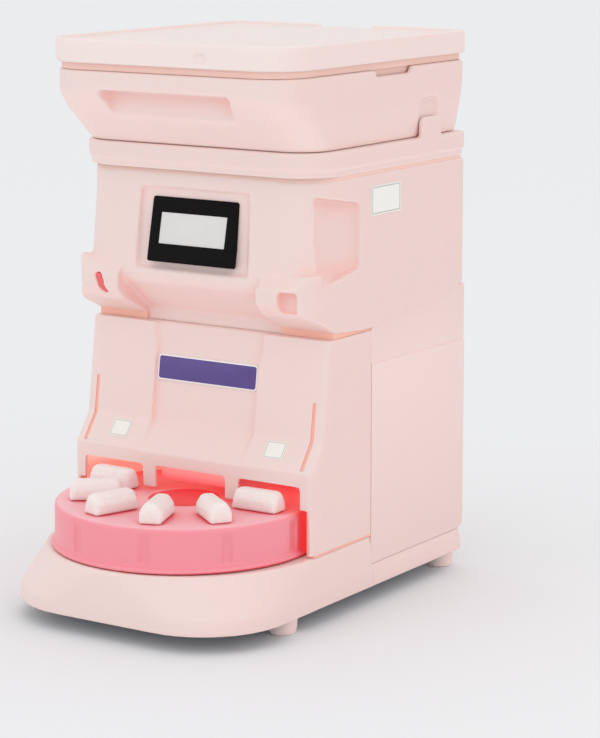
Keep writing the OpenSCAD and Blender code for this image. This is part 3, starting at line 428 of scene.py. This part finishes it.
# Six pressed rice balls ride on the turntable; the other places are still empty. Each is a blunt
# oblong of packed short-grain rice, pressed flat on top with soft chamfered sides.
ball_section = [(-12, 0), (-14, 3), (-14, 13), (-8.6, 21.8), (-5.4, 24), (5.4, 24), (8.6, 21.8),
                (14, 13), (14, 3), (12, 0)]
ball_circle, end_rounding = 104, 7.2
balls = []
for place, length, turn in zip(range(6), (29.4, 30, 29.7, 30, 29.5, 29.8), (-2, 1, 0, 2, -1, 1)):
    ball = bar("x", ball_section, -length, length)
    ends = [e for e in ball.edges if abs(e.verts[0].co.x - e.verts[1].co.x) < 1e-6
            and min(v.co.z for v in e.verts) > 0.001]
    bmesh.ops.bevel(ball, geom=ends, offset=end_rounding * MM, segments=3, affect="EDGES", profile=0.5,
                    material=-1)
    spot = Matrix.Translation(Vector((0, table_y, table_top + 0.05)) * MM)
    spot @= Matrix.Rotation(math.radians(180 + pitch * place), 4, "Z")
    spot @= Matrix.Translation((ball_circle * MM, 0, 0)) @ Matrix.Rotation(math.radians(turn), 4, "Z")
    bmesh.ops.transform(ball, matrix=spot, verts=ball.verts)
    balls.append(ball)
rice = moulded("rice_ball_set", merged(balls), voxel=1.2, soften=30)
rice_finish = Finish("pressed rice", (243, 236, 234), IOR=1.4, Subsurface_Weight=0.35,
                     Subsurface_Radius=(1.0, 0.8, 0.7), Subsurface_Scale=0.006)
kernels = rice_finish.node("TexVoronoi", sockets={"Vector": rice_finish.node("TexCoord", out="Object"),
                                                  "Scale": 260, "Randomness": 0.9})
rice_finish.feed("Base Color", rice_finish.mix(kernels, rgb(243, 235, 232), rgb(238, 226, 223)))
rice_finish.feed("Roughness", kernels * 0.2 + 0.4)
rice_finish.bump(kernels, 0.1, 0.0004)
finished(rice, rice_finish, "turntable", "rice", "rice_balls")

# The bay liner is a red-orange inner moulding screwed under the frame: a round wall and a ceiling
# close the bay over the turntable, and a guard hangs behind the middle opening.
# Painted light and shade: the liner glows faintly by emission though it is no lamp, and its colour is
# painted shade, deep red low down behind the guard and paler above and to the sides.
liner = Finish("liner resin", (246, 130, 110), Roughness=0.5, Emission_Strength=0.38)
low_zone, guard_half = 147, 52  # its tone changes above this height and beside the guard
height = ((liner.axis("Z") - low_zone * MM) / 0.015).clamp()
aside = ((abs(liner.axis("X")) - guard_half * MM) / 0.012).clamp()
painted_liner_shade = liner.mix(height, liner.mix(aside, rgb(244, 84, 90), rgb(248, 174, 160)),
                       liner.mix(aside, rgb(244, 164, 160), rgb(250, 224, 208)))
liner.feed("Base Color", painted_liner_shade)
liner.feed("Emission Color", painted_liner_shade)
liner.bump(liner.noise(700, 2), 0.1, 0.0003)
coat(liner, "bay_liner")

# The lower front cover is one resin moulding that pulls off forwards. Its outer zones stand proud of
# a drafted middle recess, it kicks out over the three openings, and two posts hang between them.
def rounded_edges(bm, radius, test, segments=5):
    """Bevels the edges whose two ends, in mm, pass a test."""
    edges = [e for e in bm.edges if test(*[v.co / MM for v in e.verts])]
    bmesh.ops.bevel(bm, geom=edges, offset=radius * MM, segments=segments, affect="EDGES",
                    profile=0.5, material=-1, clamp_overlap=True)
    return bm


def along(p, q, axis):
    """Whether an edge from p to q runs along an axis."""
    return (p - q).length > 0.1 and all(abs(getattr(p - q, a)) < 0.05 for a in "xyz" if a != axis)


cover_foot, cover_top = 84, 328
kick_low, kick_high, brow = (-88, 180), (-64, 213), (-48, cover_top)  # corners up the front, (y, z)
kick_slope = (kick_high[0] - kick_low[0]) / (kick_high[1] - kick_low[1])
face_slope = (brow[0] - kick_high[0]) / (brow[1] - kick_high[1])


def kick_y(z):
    """Depth of the kick's slope at a height, in mm."""
    return kick_low[0] + (z - kick_low[1]) * kick_slope


def upper_y(z):
    """Depth of the steep face above the kick at a height, in mm."""
    return kick_high[0] + (z - kick_high[1]) * face_slope


cover_body = bar("x", [(kick_low[0], cover_foot), kick_low, kick_high, brow, (seam_y, cover_top),
                       (seam_y, cover_foot)], -half, half)
rounded_edges(cover_body, 7,
              lambda p, q: abs(p.x) > half - 1 and abs(p.x - q.x) < 0.05 and max(p.y, q.y) < -40)
rounded_edges(cover_body, 8, lambda p, q: along(p, q, "x") and p.z < cover_foot + 0.1 and p.y < -79)
recess_floor, recess_mouth = 72.5, 88  # half widths: the recess widens towards the front
recess = bar("x", [(-90, 178), (-88.2, 179.6), (-57.2, 213), (-41, 330), (-60, 330), (-74, 213)],
             -recess_floor, recess_floor)
for v in recess.verts:
    y, z = v.co.y / MM, v.co.z / MM
    if y < min(kick_y(z), upper_y(z)) - 0.5 or z < 177:
        v.co.x *= recess_mouth / recess_floor


def window(x0, x1):
    """Opening over the turntable with rounded upper corners."""
    return rounded_edges(box(x0, x1, -130, -64.5, 120, 164), 5,
                         lambda p, q: along(p, q, "y") and p.z > 163)


wall_inner = 166  # half the width between the side walls
cavity = [(-84, 60), (-84, 182.5), (-60, 215), (-44.5, 324), (60, 324), (60, 60)]
deep_cavity = [(-84.5, 60), (-84.5, 176.5), (-53.3, 211), (-37.8, 324), (60, 324), (60, 60)]
inside = [bar("x", deep_cavity, -wall_inner, wall_inner), *both(bar("x", cavity, 90, wall_inner))]
table_room = box(-164, 164, -130, -64.5, 60, 137)
top_opening = box(-wall_inner, wall_inner, -32, 60, 320, 340)
slot_cut = bar("x", [(-95, 183), (-80, 183), (-58, 213), (-50, 257), (-95, 257)], 152.7, 157.3)
front_cover = moulded("front_cover_skin", cover_body,
                      cuts=[recess, table_room, window(-50, 50), *both(window(68, 154))],
                      late_cuts=[*inside, top_opening, *both(slot_cut)])
finished(front_cover, cover_resin, "front_cover", "cover", "front_cover")

# Behind each narrow slot of the front cover an orange resin strip is clipped in; its orange is painted
# shade for the slot. An orange gasket closes the joint between each cheek of the cover and the base
# tray.
accent = resin("accent resin", (250, 176, 158), (247, 154, 134), 0.45)
strip_side = [(-84.5, 183.4), (-63.1, 213), (-57.1, 256.7), (-53.4, 256.7), (-59.3, 212.4),
              (-80.6, 183.4)]
slot_strips = made("slot_strips", merged(both(bar("x", strip_side, 152.9, 157.1))))
finished(smooth(slot_strips), accent, "front_cover", "cover")
gasket = made("cheek_gaskets", merged(both(box(165, half, -82, seam_y - 0.4, 82.2, 84.6))))
finished(smooth(gasket), accent, "front_cover", "cover")

# The plate in the recess is thin metal with rounded corners, glued on: a plain purple lacquered
# field inside a narrow white border.
def plate(width, height, thick, radius, centre, lean):
    """Flat plate with rounded corners, its back at the centre point, leaning back by an angle."""
    bm = box(-width / 2, width / 2, -thick, 0, -height / 2, height / 2)
    rounded_edges(bm, radius, lambda p, q: along(p, q, "y"), 6)
    rounded_edges(bm, min(0.3, thick / 3), lambda p, q: max(p.y, q.y) < -thick + 0.01, 2)
    turn = Matrix.Translation(Vector(centre) * MM) @ Matrix.Rotation(math.radians(-lean), 4, "X")
    bmesh.ops.transform(bm, matrix=turn, verts=bm.verts)
    return bm


plate_lean = math.degrees(math.atan(face_slope))
plate_z, recess_depth = 275, 7
plate_spot = (0, upper_y(plate_z) + recess_depth, plate_z)
white_ink = Finish("white ink", (240, 239, 240), Roughness=0.35)
white_ink.feed("Base Color", white_ink.mix(white_ink.noise(80, 2), rgb(236, 235, 237),
                                           rgb(246, 245, 246)))
white_ink.bump(white_ink.noise(900, 1), 0.04, 0.0002)
border = made("brand_plate_border", plate(142, 30, 2.5, 4, plate_spot, plate_lean))
finished(smooth(border), white_ink, "front_cover", "plate", "brand_plate")
purple = Finish("purple lacquer", (80, 60, 132), Coat_Weight=0.3, Coat_Roughness=0.2)
purple.feed("Base Color", purple.mix(purple.noise(70, 3), rgb(74, 55, 126), rgb(88, 66, 144)))
purple.feed("Roughness", purple.noise(300, 2) * 0.12 + 0.3)
purple.bump(purple.noise(1100, 1), 0.04, 0.0002)
field = made("brand_plate_field", plate(138.6, 26.8, 2.7, 3, plate_spot, plate_lean))
finished(smooth(field), purple, "front_cover", "plate")

# Two small square stickers are stuck on the kick of the front cover. They are pale paper under a
# clear film, with a thin grey frame line.
paper = Finish("label paper", (240, 238, 232), Coat_Weight=0.2)
paper.feed("Base Color", paper.mix(paper.noise(160, 3), rgb(236, 234, 227), rgb(243, 241, 236)))
paper.feed("Roughness", paper.noise(300, 2) * 0.1 + 0.36)
paper.bump(paper.noise(1500, 2), 0.05, 0.0002)
line_ink = Finish("label line ink", (176, 174, 168), Roughness=0.45)
line_ink.feed("Base Color", line_ink.mix(line_ink.noise(200, 2), rgb(160, 158, 152),
                                         rgb(182, 180, 174)))
kick_lean = math.degrees(math.atan(kick_slope))
sticker_z = 200
spots = [(x, kick_y(sticker_z) - 0.1, sticker_z) for x in (-110.5, 110.5)]
sheets = [plate(27, 22, 0.35, 1.2, spot, kick_lean) for spot in spots]
stickers = made("cover_label_sheets", merged(sheets))
finished(smooth(stickers), paper, "front_cover", "label", "cover_labels")
lines = [carved("DIFFERENCE", plate(24.4, 19.4, 0.45, 1, spot, kick_lean),
                plate(23.2, 18.2, 2, 0.8, spot, kick_lean)) for spot in spots]
finished(smooth(made("cover_label_lines", merged(lines))), line_ink, "front_cover", "label")

# The two lower side covers are flat resin mouldings screwed to the frame behind the side seam. Each
# has a shallow band along its top, a tongue behind the head's slanted edge and a lip that backs the
# joints.
def edged(name, body, joins=(), cuts=(), width=1.2):
    """Joined and cut bodies with small moulded radii on their sharp edges."""
    piece = made(name, body)
    with_tools(piece, "UNION", joins)
    with_tools(piece, "DIFFERENCE", cuts)
    step = piece.modifiers.new("edges", "BEVEL")
    step.width, step.segments, step.limit_method = width * MM, 3, "ANGLE"
    step.angle_limit = math.radians(30)
    settled(piece)
    return smooth(piece, 35)


panel = bar("x", [(41.4, 48), (rear_y, 48), (rear_y, 355.6), (246, 354.2), (246, 356.9), (43, 332.4),
                  (43, 329.8), (41.4, 329.6)], wall_inner, half)
rounded_edges(panel, 11, lambda p, q: along(p, q, "x") and p.y > rear_y - 1 and p.z < 49)
band = bar("x", [(30, 288), (270, 285), (270, 400), (30, 400)], 168.9, 175)
lip = bar("x", [(34, 86), (60, 86), (60, 327), (244, 349), (244, 361), (34, 334)], 161.4, 166.4)
for side, body, joint, groove in zip(("right", "left"), both(panel), both(lip), both(band)):
    side_cover = edged("side_cover_skin_" + side, body, joins=[joint], cuts=[groove], width=0.9)
    finished(side_cover, cover_resin, "machine", "cover", "side_cover_" + side)

# The head cover is the largest resin moulding and is screwed to the frame. Its leaning face carries
# the recess for the touch panel, two rounded lobes reach down at the corners, and a hand grip is let
# into each side.
face_lean, head_top, head_front, chin_z = 5.8, 510, -72, 390


def face_y(z):
    """Depth of the leaning face at a height, in mm."""
    return head_front - (head_top - z) * math.tan(math.radians(face_lean))


def head_plan(inset, corner, rear, low, high):
    """Body between the sides that follows the leaning face."""
    return loft(*[(half - inset, face_y(max(z, chin_z)) + inset, rear, z, corner, 10)
                  for z in (low, chin_z, high)])


def drafted(points, floor_half, mouth_half):
    """Cutter pulled along X that widens from its floor to the leaning face."""
    bm = bar("x", points, -floor_half, floor_half)
    for v in bm.verts:
        if v.co.y / MM < face_y(v.co.z / MM) - 0.5:
            v.co.x *= mouth_half / floor_half
    return bm


chin_y, lobe_front, lobe_inner = face_y(chin_z), -94, 97
head_side = [(-130, head_top), (-130, 392), (chin_y - 0.6, chin_z), (chin_y + 4, 381), (-32, 343),
             (-32, 335), (seam_y, 330), (rear_y, 356), (rear_y, head_top)]
head = carved("INTERSECT", head_plan(0, 56, rear_y, 300, 520), bar("x", head_side, -171, 171))
lobe_side = [(face_y(406) + 3, 406), (lobe_front, 388), (lobe_front, 371), (-81, 357), (-35, 335),
             (-29, 335), (-29, 347), (-64, 406)]
lobe = carved("INTERSECT", bar("x", lobe_side, lobe_inner, half),
              loft(*[(half, lobe_front, rear_y, z, 38, 4) for z in (300, 520)]))
panel_pocket = drafted([(-120, 396), (face_y(396) - 1, 396), (face_y(401) + 6, 401),
                        (face_y(490) + 6, 490), (face_y(495) - 1, 495), (-120, 495)], 75, 81)
grip_side = [(-68, 389), (17, 406), (17, 479), (-68, 494)]
grip_plan = [(180, -68), (149, -56), (151, -20), (160, 12), (172, 16), (180, 18)]
grip_front = [(180, 384), (170, 390), (149, 403), (149, 500), (180, 500)]
grip = carved("INTERSECT", bar("x", grip_side, 145, 180), bar("z", grip_plan, 390, 500),
              bar("y", grip_front, -70, 20))
left_pocket = bar("y", [(-132, 388.5), (-122.5, 388.5), (-114.5, 362.5), (-122.5, 362.5)], -110, -85)
right_pocket = rounded_edges(box(127, 150, -110, -80, 363, 387), 3, lambda p, q: along(p, q, "y"))


def hollow(back):
    """Outline of the inside, set back from the face."""
    return [(face_y(506) + back, 506), (face_y(388) + back, 388), (chin_y + back + 4, 385),
            (-27, 346), (-27, 300), (280, 300), (280, 506)]


head_hollow = carved("UNION", bar("x", hollow(10), -wall_inner, wall_inner),
                     *both(bar("x", hollow(4), 86, wall_inner)))
head_hollow = carved("INTERSECT", head_hollow, head_plan(4, 52, 300, 290, 520))
behind_grip = box(142, half, -76, 24, 390, 502)
behind_lobe = bar("x", lobe_side, lobe_inner, half)
head_hollow = carved("DIFFERENCE", head_hollow, *both(behind_grip, behind_lobe))
chin_strip = box(-97.2, 97.2, -33, -28, 328.3, 346)
panel_hole = box(-52, 52, -130, -42, 412, 474)
hopper_hole = box(-100, 100, -45, 60, 500, 512)
head_cover = moulded("head_cover_skin", head, joins=both(lobe), late_joins=[chin_strip],
                     cuts=[panel_pocket, *both(grip), left_pocket, right_pocket],
                     late_cuts=[head_hollow, panel_hole, hopper_hole])
finished(head_cover, cover_resin, "machine", "cover", "head_cover")

# Orange resin strips close the joint between the lobes and the front cover and run a little way
# round each side; their orange is painted shade for that joint. A narrow red resin catch is clipped
# into the pocket of the left lobe; its red is painted shade for the pocket.
closing = bar("z", [(lobe_inner, -37), (150, -37), (166.5, -37), (166.5, 40), (163, 40), (163, -33),
                    (lobe_inner, -33)], 328.2, 342)
closing_resin = resin("closing strip resin", (253, 190, 173), (252, 170, 152), 0.5)
finished(smooth(made("lobe_closing_strips", merged(both(closing)))), closing_resin, "machine", "cover")
catch_red = resin("catch resin", (244, 104, 106), (220, 84, 90), 0.4)
catch_front = bar("y", [(-131, 387.6), (-123.4, 387.6), (-115.8, 363.4), (-121.8, 363.4)], -100, -85.2)
catch_side = bar("x", [(-92.2, 390), (-92.2, 371.7), (-79.7, 358.2), (-79.7, 390)], -140, -110)
catch = carved("INTERSECT", catch_front, catch_side)
finished(edged("lobe_catch", catch, width=0.4), catch_red, "machine", "cover")

# A wider sticker of the same paper and film is stuck high on the right side of the head. A thin
# frame line runs round it, a little way in from its edge.
def label_side(inset):
    """Outline of the label seen from the side, drawn in by a distance."""
    front, rear, low, high = 38 + inset, 102 - inset, 462.4 + inset, 496.6 - inset
    return [(front, low), (rear, low), (rear, high), (front, high)]


sheet = made("side_label_sheet", bar("x", label_side(0), 169.8, 170.45))
finished(smooth(sheet), paper, "machine", "label", "side_label")
side_line = carved("DIFFERENCE", bar("x", label_side(1.6), 170.2, 170.55),
                   bar("x", label_side(2.5), half, 171))
finished(smooth(made("side_label_line", side_line)), line_ink, "machine", "label")

# The touch panel is bought in: a black resin bezel with rounded corners and a pale screen behind a
# clear film. Its housing is screwed behind the recess of the head.
black = Finish("black bezel resin", (12, 11, 12), IOR=1.45, Specular_IOR_Level=0.1)
black.feed("Base Color", black.mix(black.noise(60, 3), rgb(7, 5, 6), rgb(15, 11, 12)))
black.feed("Roughness", black.noise(300, 2) * 0.1 + 0.34)
black.bump(black.noise(1600, 2), 0.06, 0.0002)
panel_lean = 12  # a little more than the face, so that the lower edge stands out
bezel_z, screen_z = 443, 444.5
bezel = plate(120, 76, 8, 3, (0, face_y(bezel_z) + 8, bezel_z), panel_lean)
aperture = plate(93, 37, 12, 1, (0, face_y(screen_z) + 9, screen_z), panel_lean)
finished(edged("touch_bezel", bezel, cuts=[aperture], width=0.6), black, "machine", "bezel",
         "panel_bezel")
screen_film = Finish("screen film", (222, 222, 220), IOR=1.45, Coat_Weight=0.2, Coat_Roughness=0.12)
screen_film.feed("Base Color", screen_film.mix(screen_film.noise(14, 3), rgb(215, 215, 213),
                                               rgb(224, 223, 221)))
screen_film.feed("Roughness", screen_film.noise(200, 2) * 0.08 + 0.3)
glass = plate(92.6, 36.6, 7.2, 0.8, (0, face_y(screen_z) + 8, screen_z), panel_lean)
finished(smooth(made("touch_screen", glass)), screen_film, "machine", "screen", "panel_screen")
coat(black, "panel_housing", "fan", "fan_rotor", "power_inlet", "power_switch")

# The hopper frame is a moulded resin ring screwed on top of the head, with a step at its lower edge.
# A round-topped tab on each side locates the bowl, and a soft seal closes the joint under the frame;
# the seal's salmon colour is painted shade for that joint.
frame_body = loft((170.6, -79.5, 252.8, 514, 52, 12), (170.6, -79.5, 252.8, 522, 52, 12),
                  (173, -82, 255.4, 524, 54, 14), (173, -82, 255.4, 543, 54, 14))
frame_inside = loft((168, -77, 250.4, 505, 50, 10), (168, -77, 250.4, 536, 50, 10))
tab = rounded_edges(box(167, 173, 146, 191, 538, 567), 9, lambda p, q: along(p, q, "x") and p.z > 566)
hopper_frame = moulded("hopper_frame_skin", frame_body, joins=both(tab), voxel=1.8, soften=5,
                       late_cuts=[frame_inside, box(-84, 84, -37, 51, 500, 560)])
finished(hopper_frame, cover_resin, "machine", "cover", "hopper_frame")
seal_rubber = resin("seal rubber", (242, 202, 190), (240, 180, 164), 0.6)
frame_seal = carved("DIFFERENCE",
                    loft((168.6, -72.4, 251, 509, 53, 10), (168.6, -72.4, 251, 515, 53, 10)),
                    loft((162, -65.8, 244.4, 508, 47, 6), (162, -65.8, 244.4, 516, 47, 6)))
finished(smooth(made("frame_seal_ring", frame_seal)), seal_rubber, "machine", "seal", "frame_seal")

# The agitator stirs the rice in the bowl: three arms with upright blades on a hub, moulded in white
# food resin, as are the rollers, the chute, the duct, the mould and the cutter guides.
food = Finish("white food resin", (240, 239, 233), IOR=1.5, Subsurface_Weight=0.05,
              Subsurface_Scale=0.003)
food.feed("Base Color", food.mix(food.noise(24, 3), rgb(236, 235, 228), rgb(245, 244, 240)))
food.feed("Roughness", food.noise(260, 2) * 0.14 + 0.32)
food.bump(food.noise(900, 2), 0.06, 0.0003)
coat(food, "agitator", "rice_chute", "feed_roller_front", "feed_roller_rear", "feed_duct",
     "forming_roller_front", "forming_roller_rear", "mould_block", "cutter_guides")

# The cutter plate is ground stainless steel and slides under the forming rollers. The same steel
# serves for the screws of the rear panel.
blade = Finish("blade steel", (214, 216, 219), Metallic=1.0)
grinding = (14, 1, 1)  # squeezes the noise along X into fine lines
blade.feed("Base Color", blade.mix(blade.noise(120, 3, grinding), rgb(206, 208, 212),
                                   rgb(222, 224, 226)))
blade.feed("Roughness", blade.noise(500, 3, grinding) * 0.16 + 0.1)
blade.bump(blade.noise(700, 2, grinding), 0.05, 0.0002)
coat(blade, "cutter_plate", "rear_screws")

# The control board and its power supply are bought in. The board is lacquered green and stands on
# the bottom plate, where it is screwed down.
board = Finish("board lacquer", (40, 96, 60), Coat_Weight=0.4)
board.feed("Base Color", board.mix(board.noise(160, 4), rgb(30, 84, 50), rgb(56, 116, 74)))
board.feed("Roughness", board.noise(400, 2) * 0.2 + 0.3)
coat(board, "electronics")

# The rear panel is a pink resin moulding with vents, screwed to the frame. The rocker of its power
# switch is moulded in plain red resin and snaps into the switch.
rocker_resin = Finish("rocker resin", (176, 44, 36))
rocker_resin.feed("Base Color", rocker_resin.mix(rocker_resin.noise(120, 2), rgb(168, 38, 32),
                                                 rgb(188, 52, 42)))
rocker_resin.feed("Roughness", rocker_resin.noise(500, 2) * 0.15 + 0.28)
coat(rocker_resin, "power_rocker")
coat(cover_resin, "rear_panel")

# The hopper bowl is a resin moulding, upright at its rim and drawn in at 45 degrees to the frame it
# stands on. A pocket for the fingers is let in under the front rim; each side has a notch and a seat
# for the frame's tab.
def bowl(inset):
    """Bowl form drawn in by a wall, through levels from the frame to the rim."""
    levels = [(163.4, -77, 246, 543.3, 42, 12), (165.4, -88.6, 247.2, 553.5, 41, 12.5),
              (169.8, -118.5, 250.4, 582.5, 44, 14.5), (171.3, -132, 252, 598, 49, 15.5),
              (171.9, -137, 252.7, 606.5, 53, 16), (172, -138, 253, 613, 56, 16),
              (172, -138, 253, 629, 56, 16)]
    heights = [levels[0][3] + inset, *[level[3] for level in levels[1:-1]], levels[-1][3] + inset]
    return loft(*[(half - inset, front + inset, rear - inset, z, corner - inset, rear_r - inset)
                  for (half, front, rear, _, corner, rear_r), z in zip(levels, heights)])


pocket_floor, pocket_mouth = 83, 98  # half widths of the finger pocket
finger_pocket = bar("x", [(-150, 607), (-114.5, 607), (-110, 560), (-150, 560)],
                    -pocket_floor, pocket_floor)
for v in finger_pocket.verts:
    if v.co.y < -149 * MM:
        v.co.x *= pocket_mouth / pocket_floor
bowl_wall, hub_hole_r, agitator_spot = 5, 15.05, (0, 150)
bowl_inside = carved("DIFFERENCE", bowl(bowl_wall), box(-103, 103, -160, -105, 560, 612))
rice_outlet = box(-80, 80, -33, 47, 530, 560)
hub_hole = turned([(0, 530), (hub_hole_r, 530), (hub_hole_r, 560), (0, 560)], 48, agitator_spot)
notch = bar("x", [(35, 640), (47, 621.5), (121, 621.5), (131, 640)], 160, 190)
tab_seat = rounded_edges(box(165.5, 190, 148, 189, 540, 590), 8,
                         lambda p, q: along(p, q, "x") and p.z > 589)
hopper_bowl = moulded("hopper_bowl_skin", bowl(0), cuts=[finger_pocket, *both(notch, tab_seat)],
                      late_cuts=[bowl_inside, rice_outlet.copy(), hub_hole], soften=9)
finished(hopper_bowl, cover_resin, "hopper", "cover", "hopper_bowl")
neck = carved("DIFFERENCE", box(-82.5, 82.5, -35.5, 49.5, 537, 549), rice_outlet)
finished(smooth(made("hopper_neck", neck)), cover_resin, "hopper", "cover")
collar = turned([(hub_hole_r, 544), (22, 544), (22, 559.4), (21.4, 560), (15.6, 560),
                 (hub_hole_r, 559.4), (hub_hole_r, 544)], 48, agitator_spot)
finished(smooth(made("agitator_collar", collar)), cover_resin, "hopper", "cover")

# The lid is a shallow resin tray: a rounded rim round a sunken top, with a notch at the rear edge and
# a skirt below that plugs into the bowl. A pale salmon seal round the skirt stays with it; its salmon
# is painted shade for the joint.
def lid_plan(inset, low, high):
    """Lid outline drawn in by a distance, between two heights."""
    return loft(*[(174 - inset, -142 + inset, 256 - inset, z, 56 - inset, max(1.5, 18.5 - inset))
                  for z in (low, high)])


lid_tray = loft((165.4, -133.4, 247.4, 660.5, 47.4, 10), (166.6, -134.6, 248.6, 670, 48.6, 11))
rear_notch = rounded_edges(box(-40, 40, 236, 260, 661.5, 670), 2, lambda p, q: along(p, q, "y"))
front_dent = box(47, 65, -150, -139.6, 641.5, 654.5)
lid = moulded("lid_skin", lid_plan(0, 637, 665), cuts=[lid_tray, rear_notch, front_dent], soften=5,
              late_joins=[lid_plan(13, 624, 658)], late_cuts=[lid_plan(17, 615, 655.5)])
# Painted shade here too: tinted hollows and pinker sides, as in the cover resin.
lid_resin = resin("lid resin", (241, 226, 222), (240, 196, 186), gain=1.5, painted_side_shade=(240, 218, 213))
finished(lid, lid_resin, "lid", "cover", "lid")
lid_seal = carved("DIFFERENCE", lid_plan(6.6, 629.2, 640), lid_plan(12.9, 628, 641))
lid_plug = carved("DIFFERENCE", lid_plan(9.6, 619, 629.4), lid_plan(12.9, 618, 630))
seal_band = edged("lid_seal_band", lid_seal, joins=[lid_plug], width=0.8)
finished(seal_band, seal_rubber, "lid", "seal", "lid_seal")

# Studio: the camera at the photograph's angle, a plain pale floor, a soft pale sky and two large
# soft lamps.
camera = bpy.data.objects.new("camera", bpy.data.cameras.new("camera"))
bpy.context.scene.collection.objects.link(camera)
camera.data.lens = 126.8
camera.data.sensor_fit = "AUTO"
camera.data.clip_end = 60
camera.location = Vector((1735.5, -2486.7, 860.9)) * MM
right, back = Vector((0.8348, 0.5505, 0)), Vector((0.5406, -0.8198, 0.1891))
distance, nudge_left, nudge_up = 2600, 0.7, 5.1  # small turns that place the machine in the frame
aim = (back * distance - right * nudge_left + back.cross(right) * nudge_up).normalized()
camera.rotation_mode = "QUATERNION"
camera.rotation_quaternion = (-aim).to_track_quat("-Z", "Y")
bpy.context.scene.camera = camera

ground_plane = bmesh.new()
bmesh.ops.create_grid(ground_plane, x_segments=1, y_segments=1, size=20)
floor = made("floor", ground_plane)
pale = (235, 236, 238)
floor_finish = Finish("floor", pale, Roughness=1.0, Specular_IOR_Level=0.0)
floor.data.materials.append(floor_finish.material)

world = bpy.data.worlds.new("studio")
bpy.context.scene.world = world
world.use_nodes = True
sky = Nodes(world.node_tree)
soft_light = sky.node("Background", sockets={"Color": (1, 1, 1, 1), "Strength": 1.0})
pale_wall = sky.node("Background", sockets={"Color": rgb(*pale), "Strength": 1.0})
seen = sky.node("LightPath", out="Is Camera Ray") + sky.node("LightPath", out="Is Glossy Ray")
seen = (seen + sky.node("LightPath", out="Is Transmission Ray")).clamp()
backdrop = sky.node("MixShader", sockets={0: seen, 1: soft_light, 2: pale_wall})
world.node_tree.links.new(backdrop.socket, world.node_tree.nodes["World Output"].inputs["Surface"])


def lamp(name, place, power):
    """Large square lamp that faces the middle of the machine."""
    light = bpy.data.lights.new(name, "AREA")
    light.shape, light.size, light.energy = "SQUARE", 2.2, power
    holder = bpy.data.objects.new(name, light)
    holder.visible_camera = False
    holder.location = place
    holder.rotation_mode = "QUATERNION"
    holder.rotation_quaternion = (Vector((0, 0, 0.3)) - Vector(place)).to_track_quat("-Z", "Y")
    bpy.context.scene.collection.objects.link(holder)


lamp("key", (-1.5, -2.9, 1.5), 6)
lamp("fill", (2.8, -1.3, 1.1), 7)
bpy.context.scene.view_settings.view_transform = "Standard"
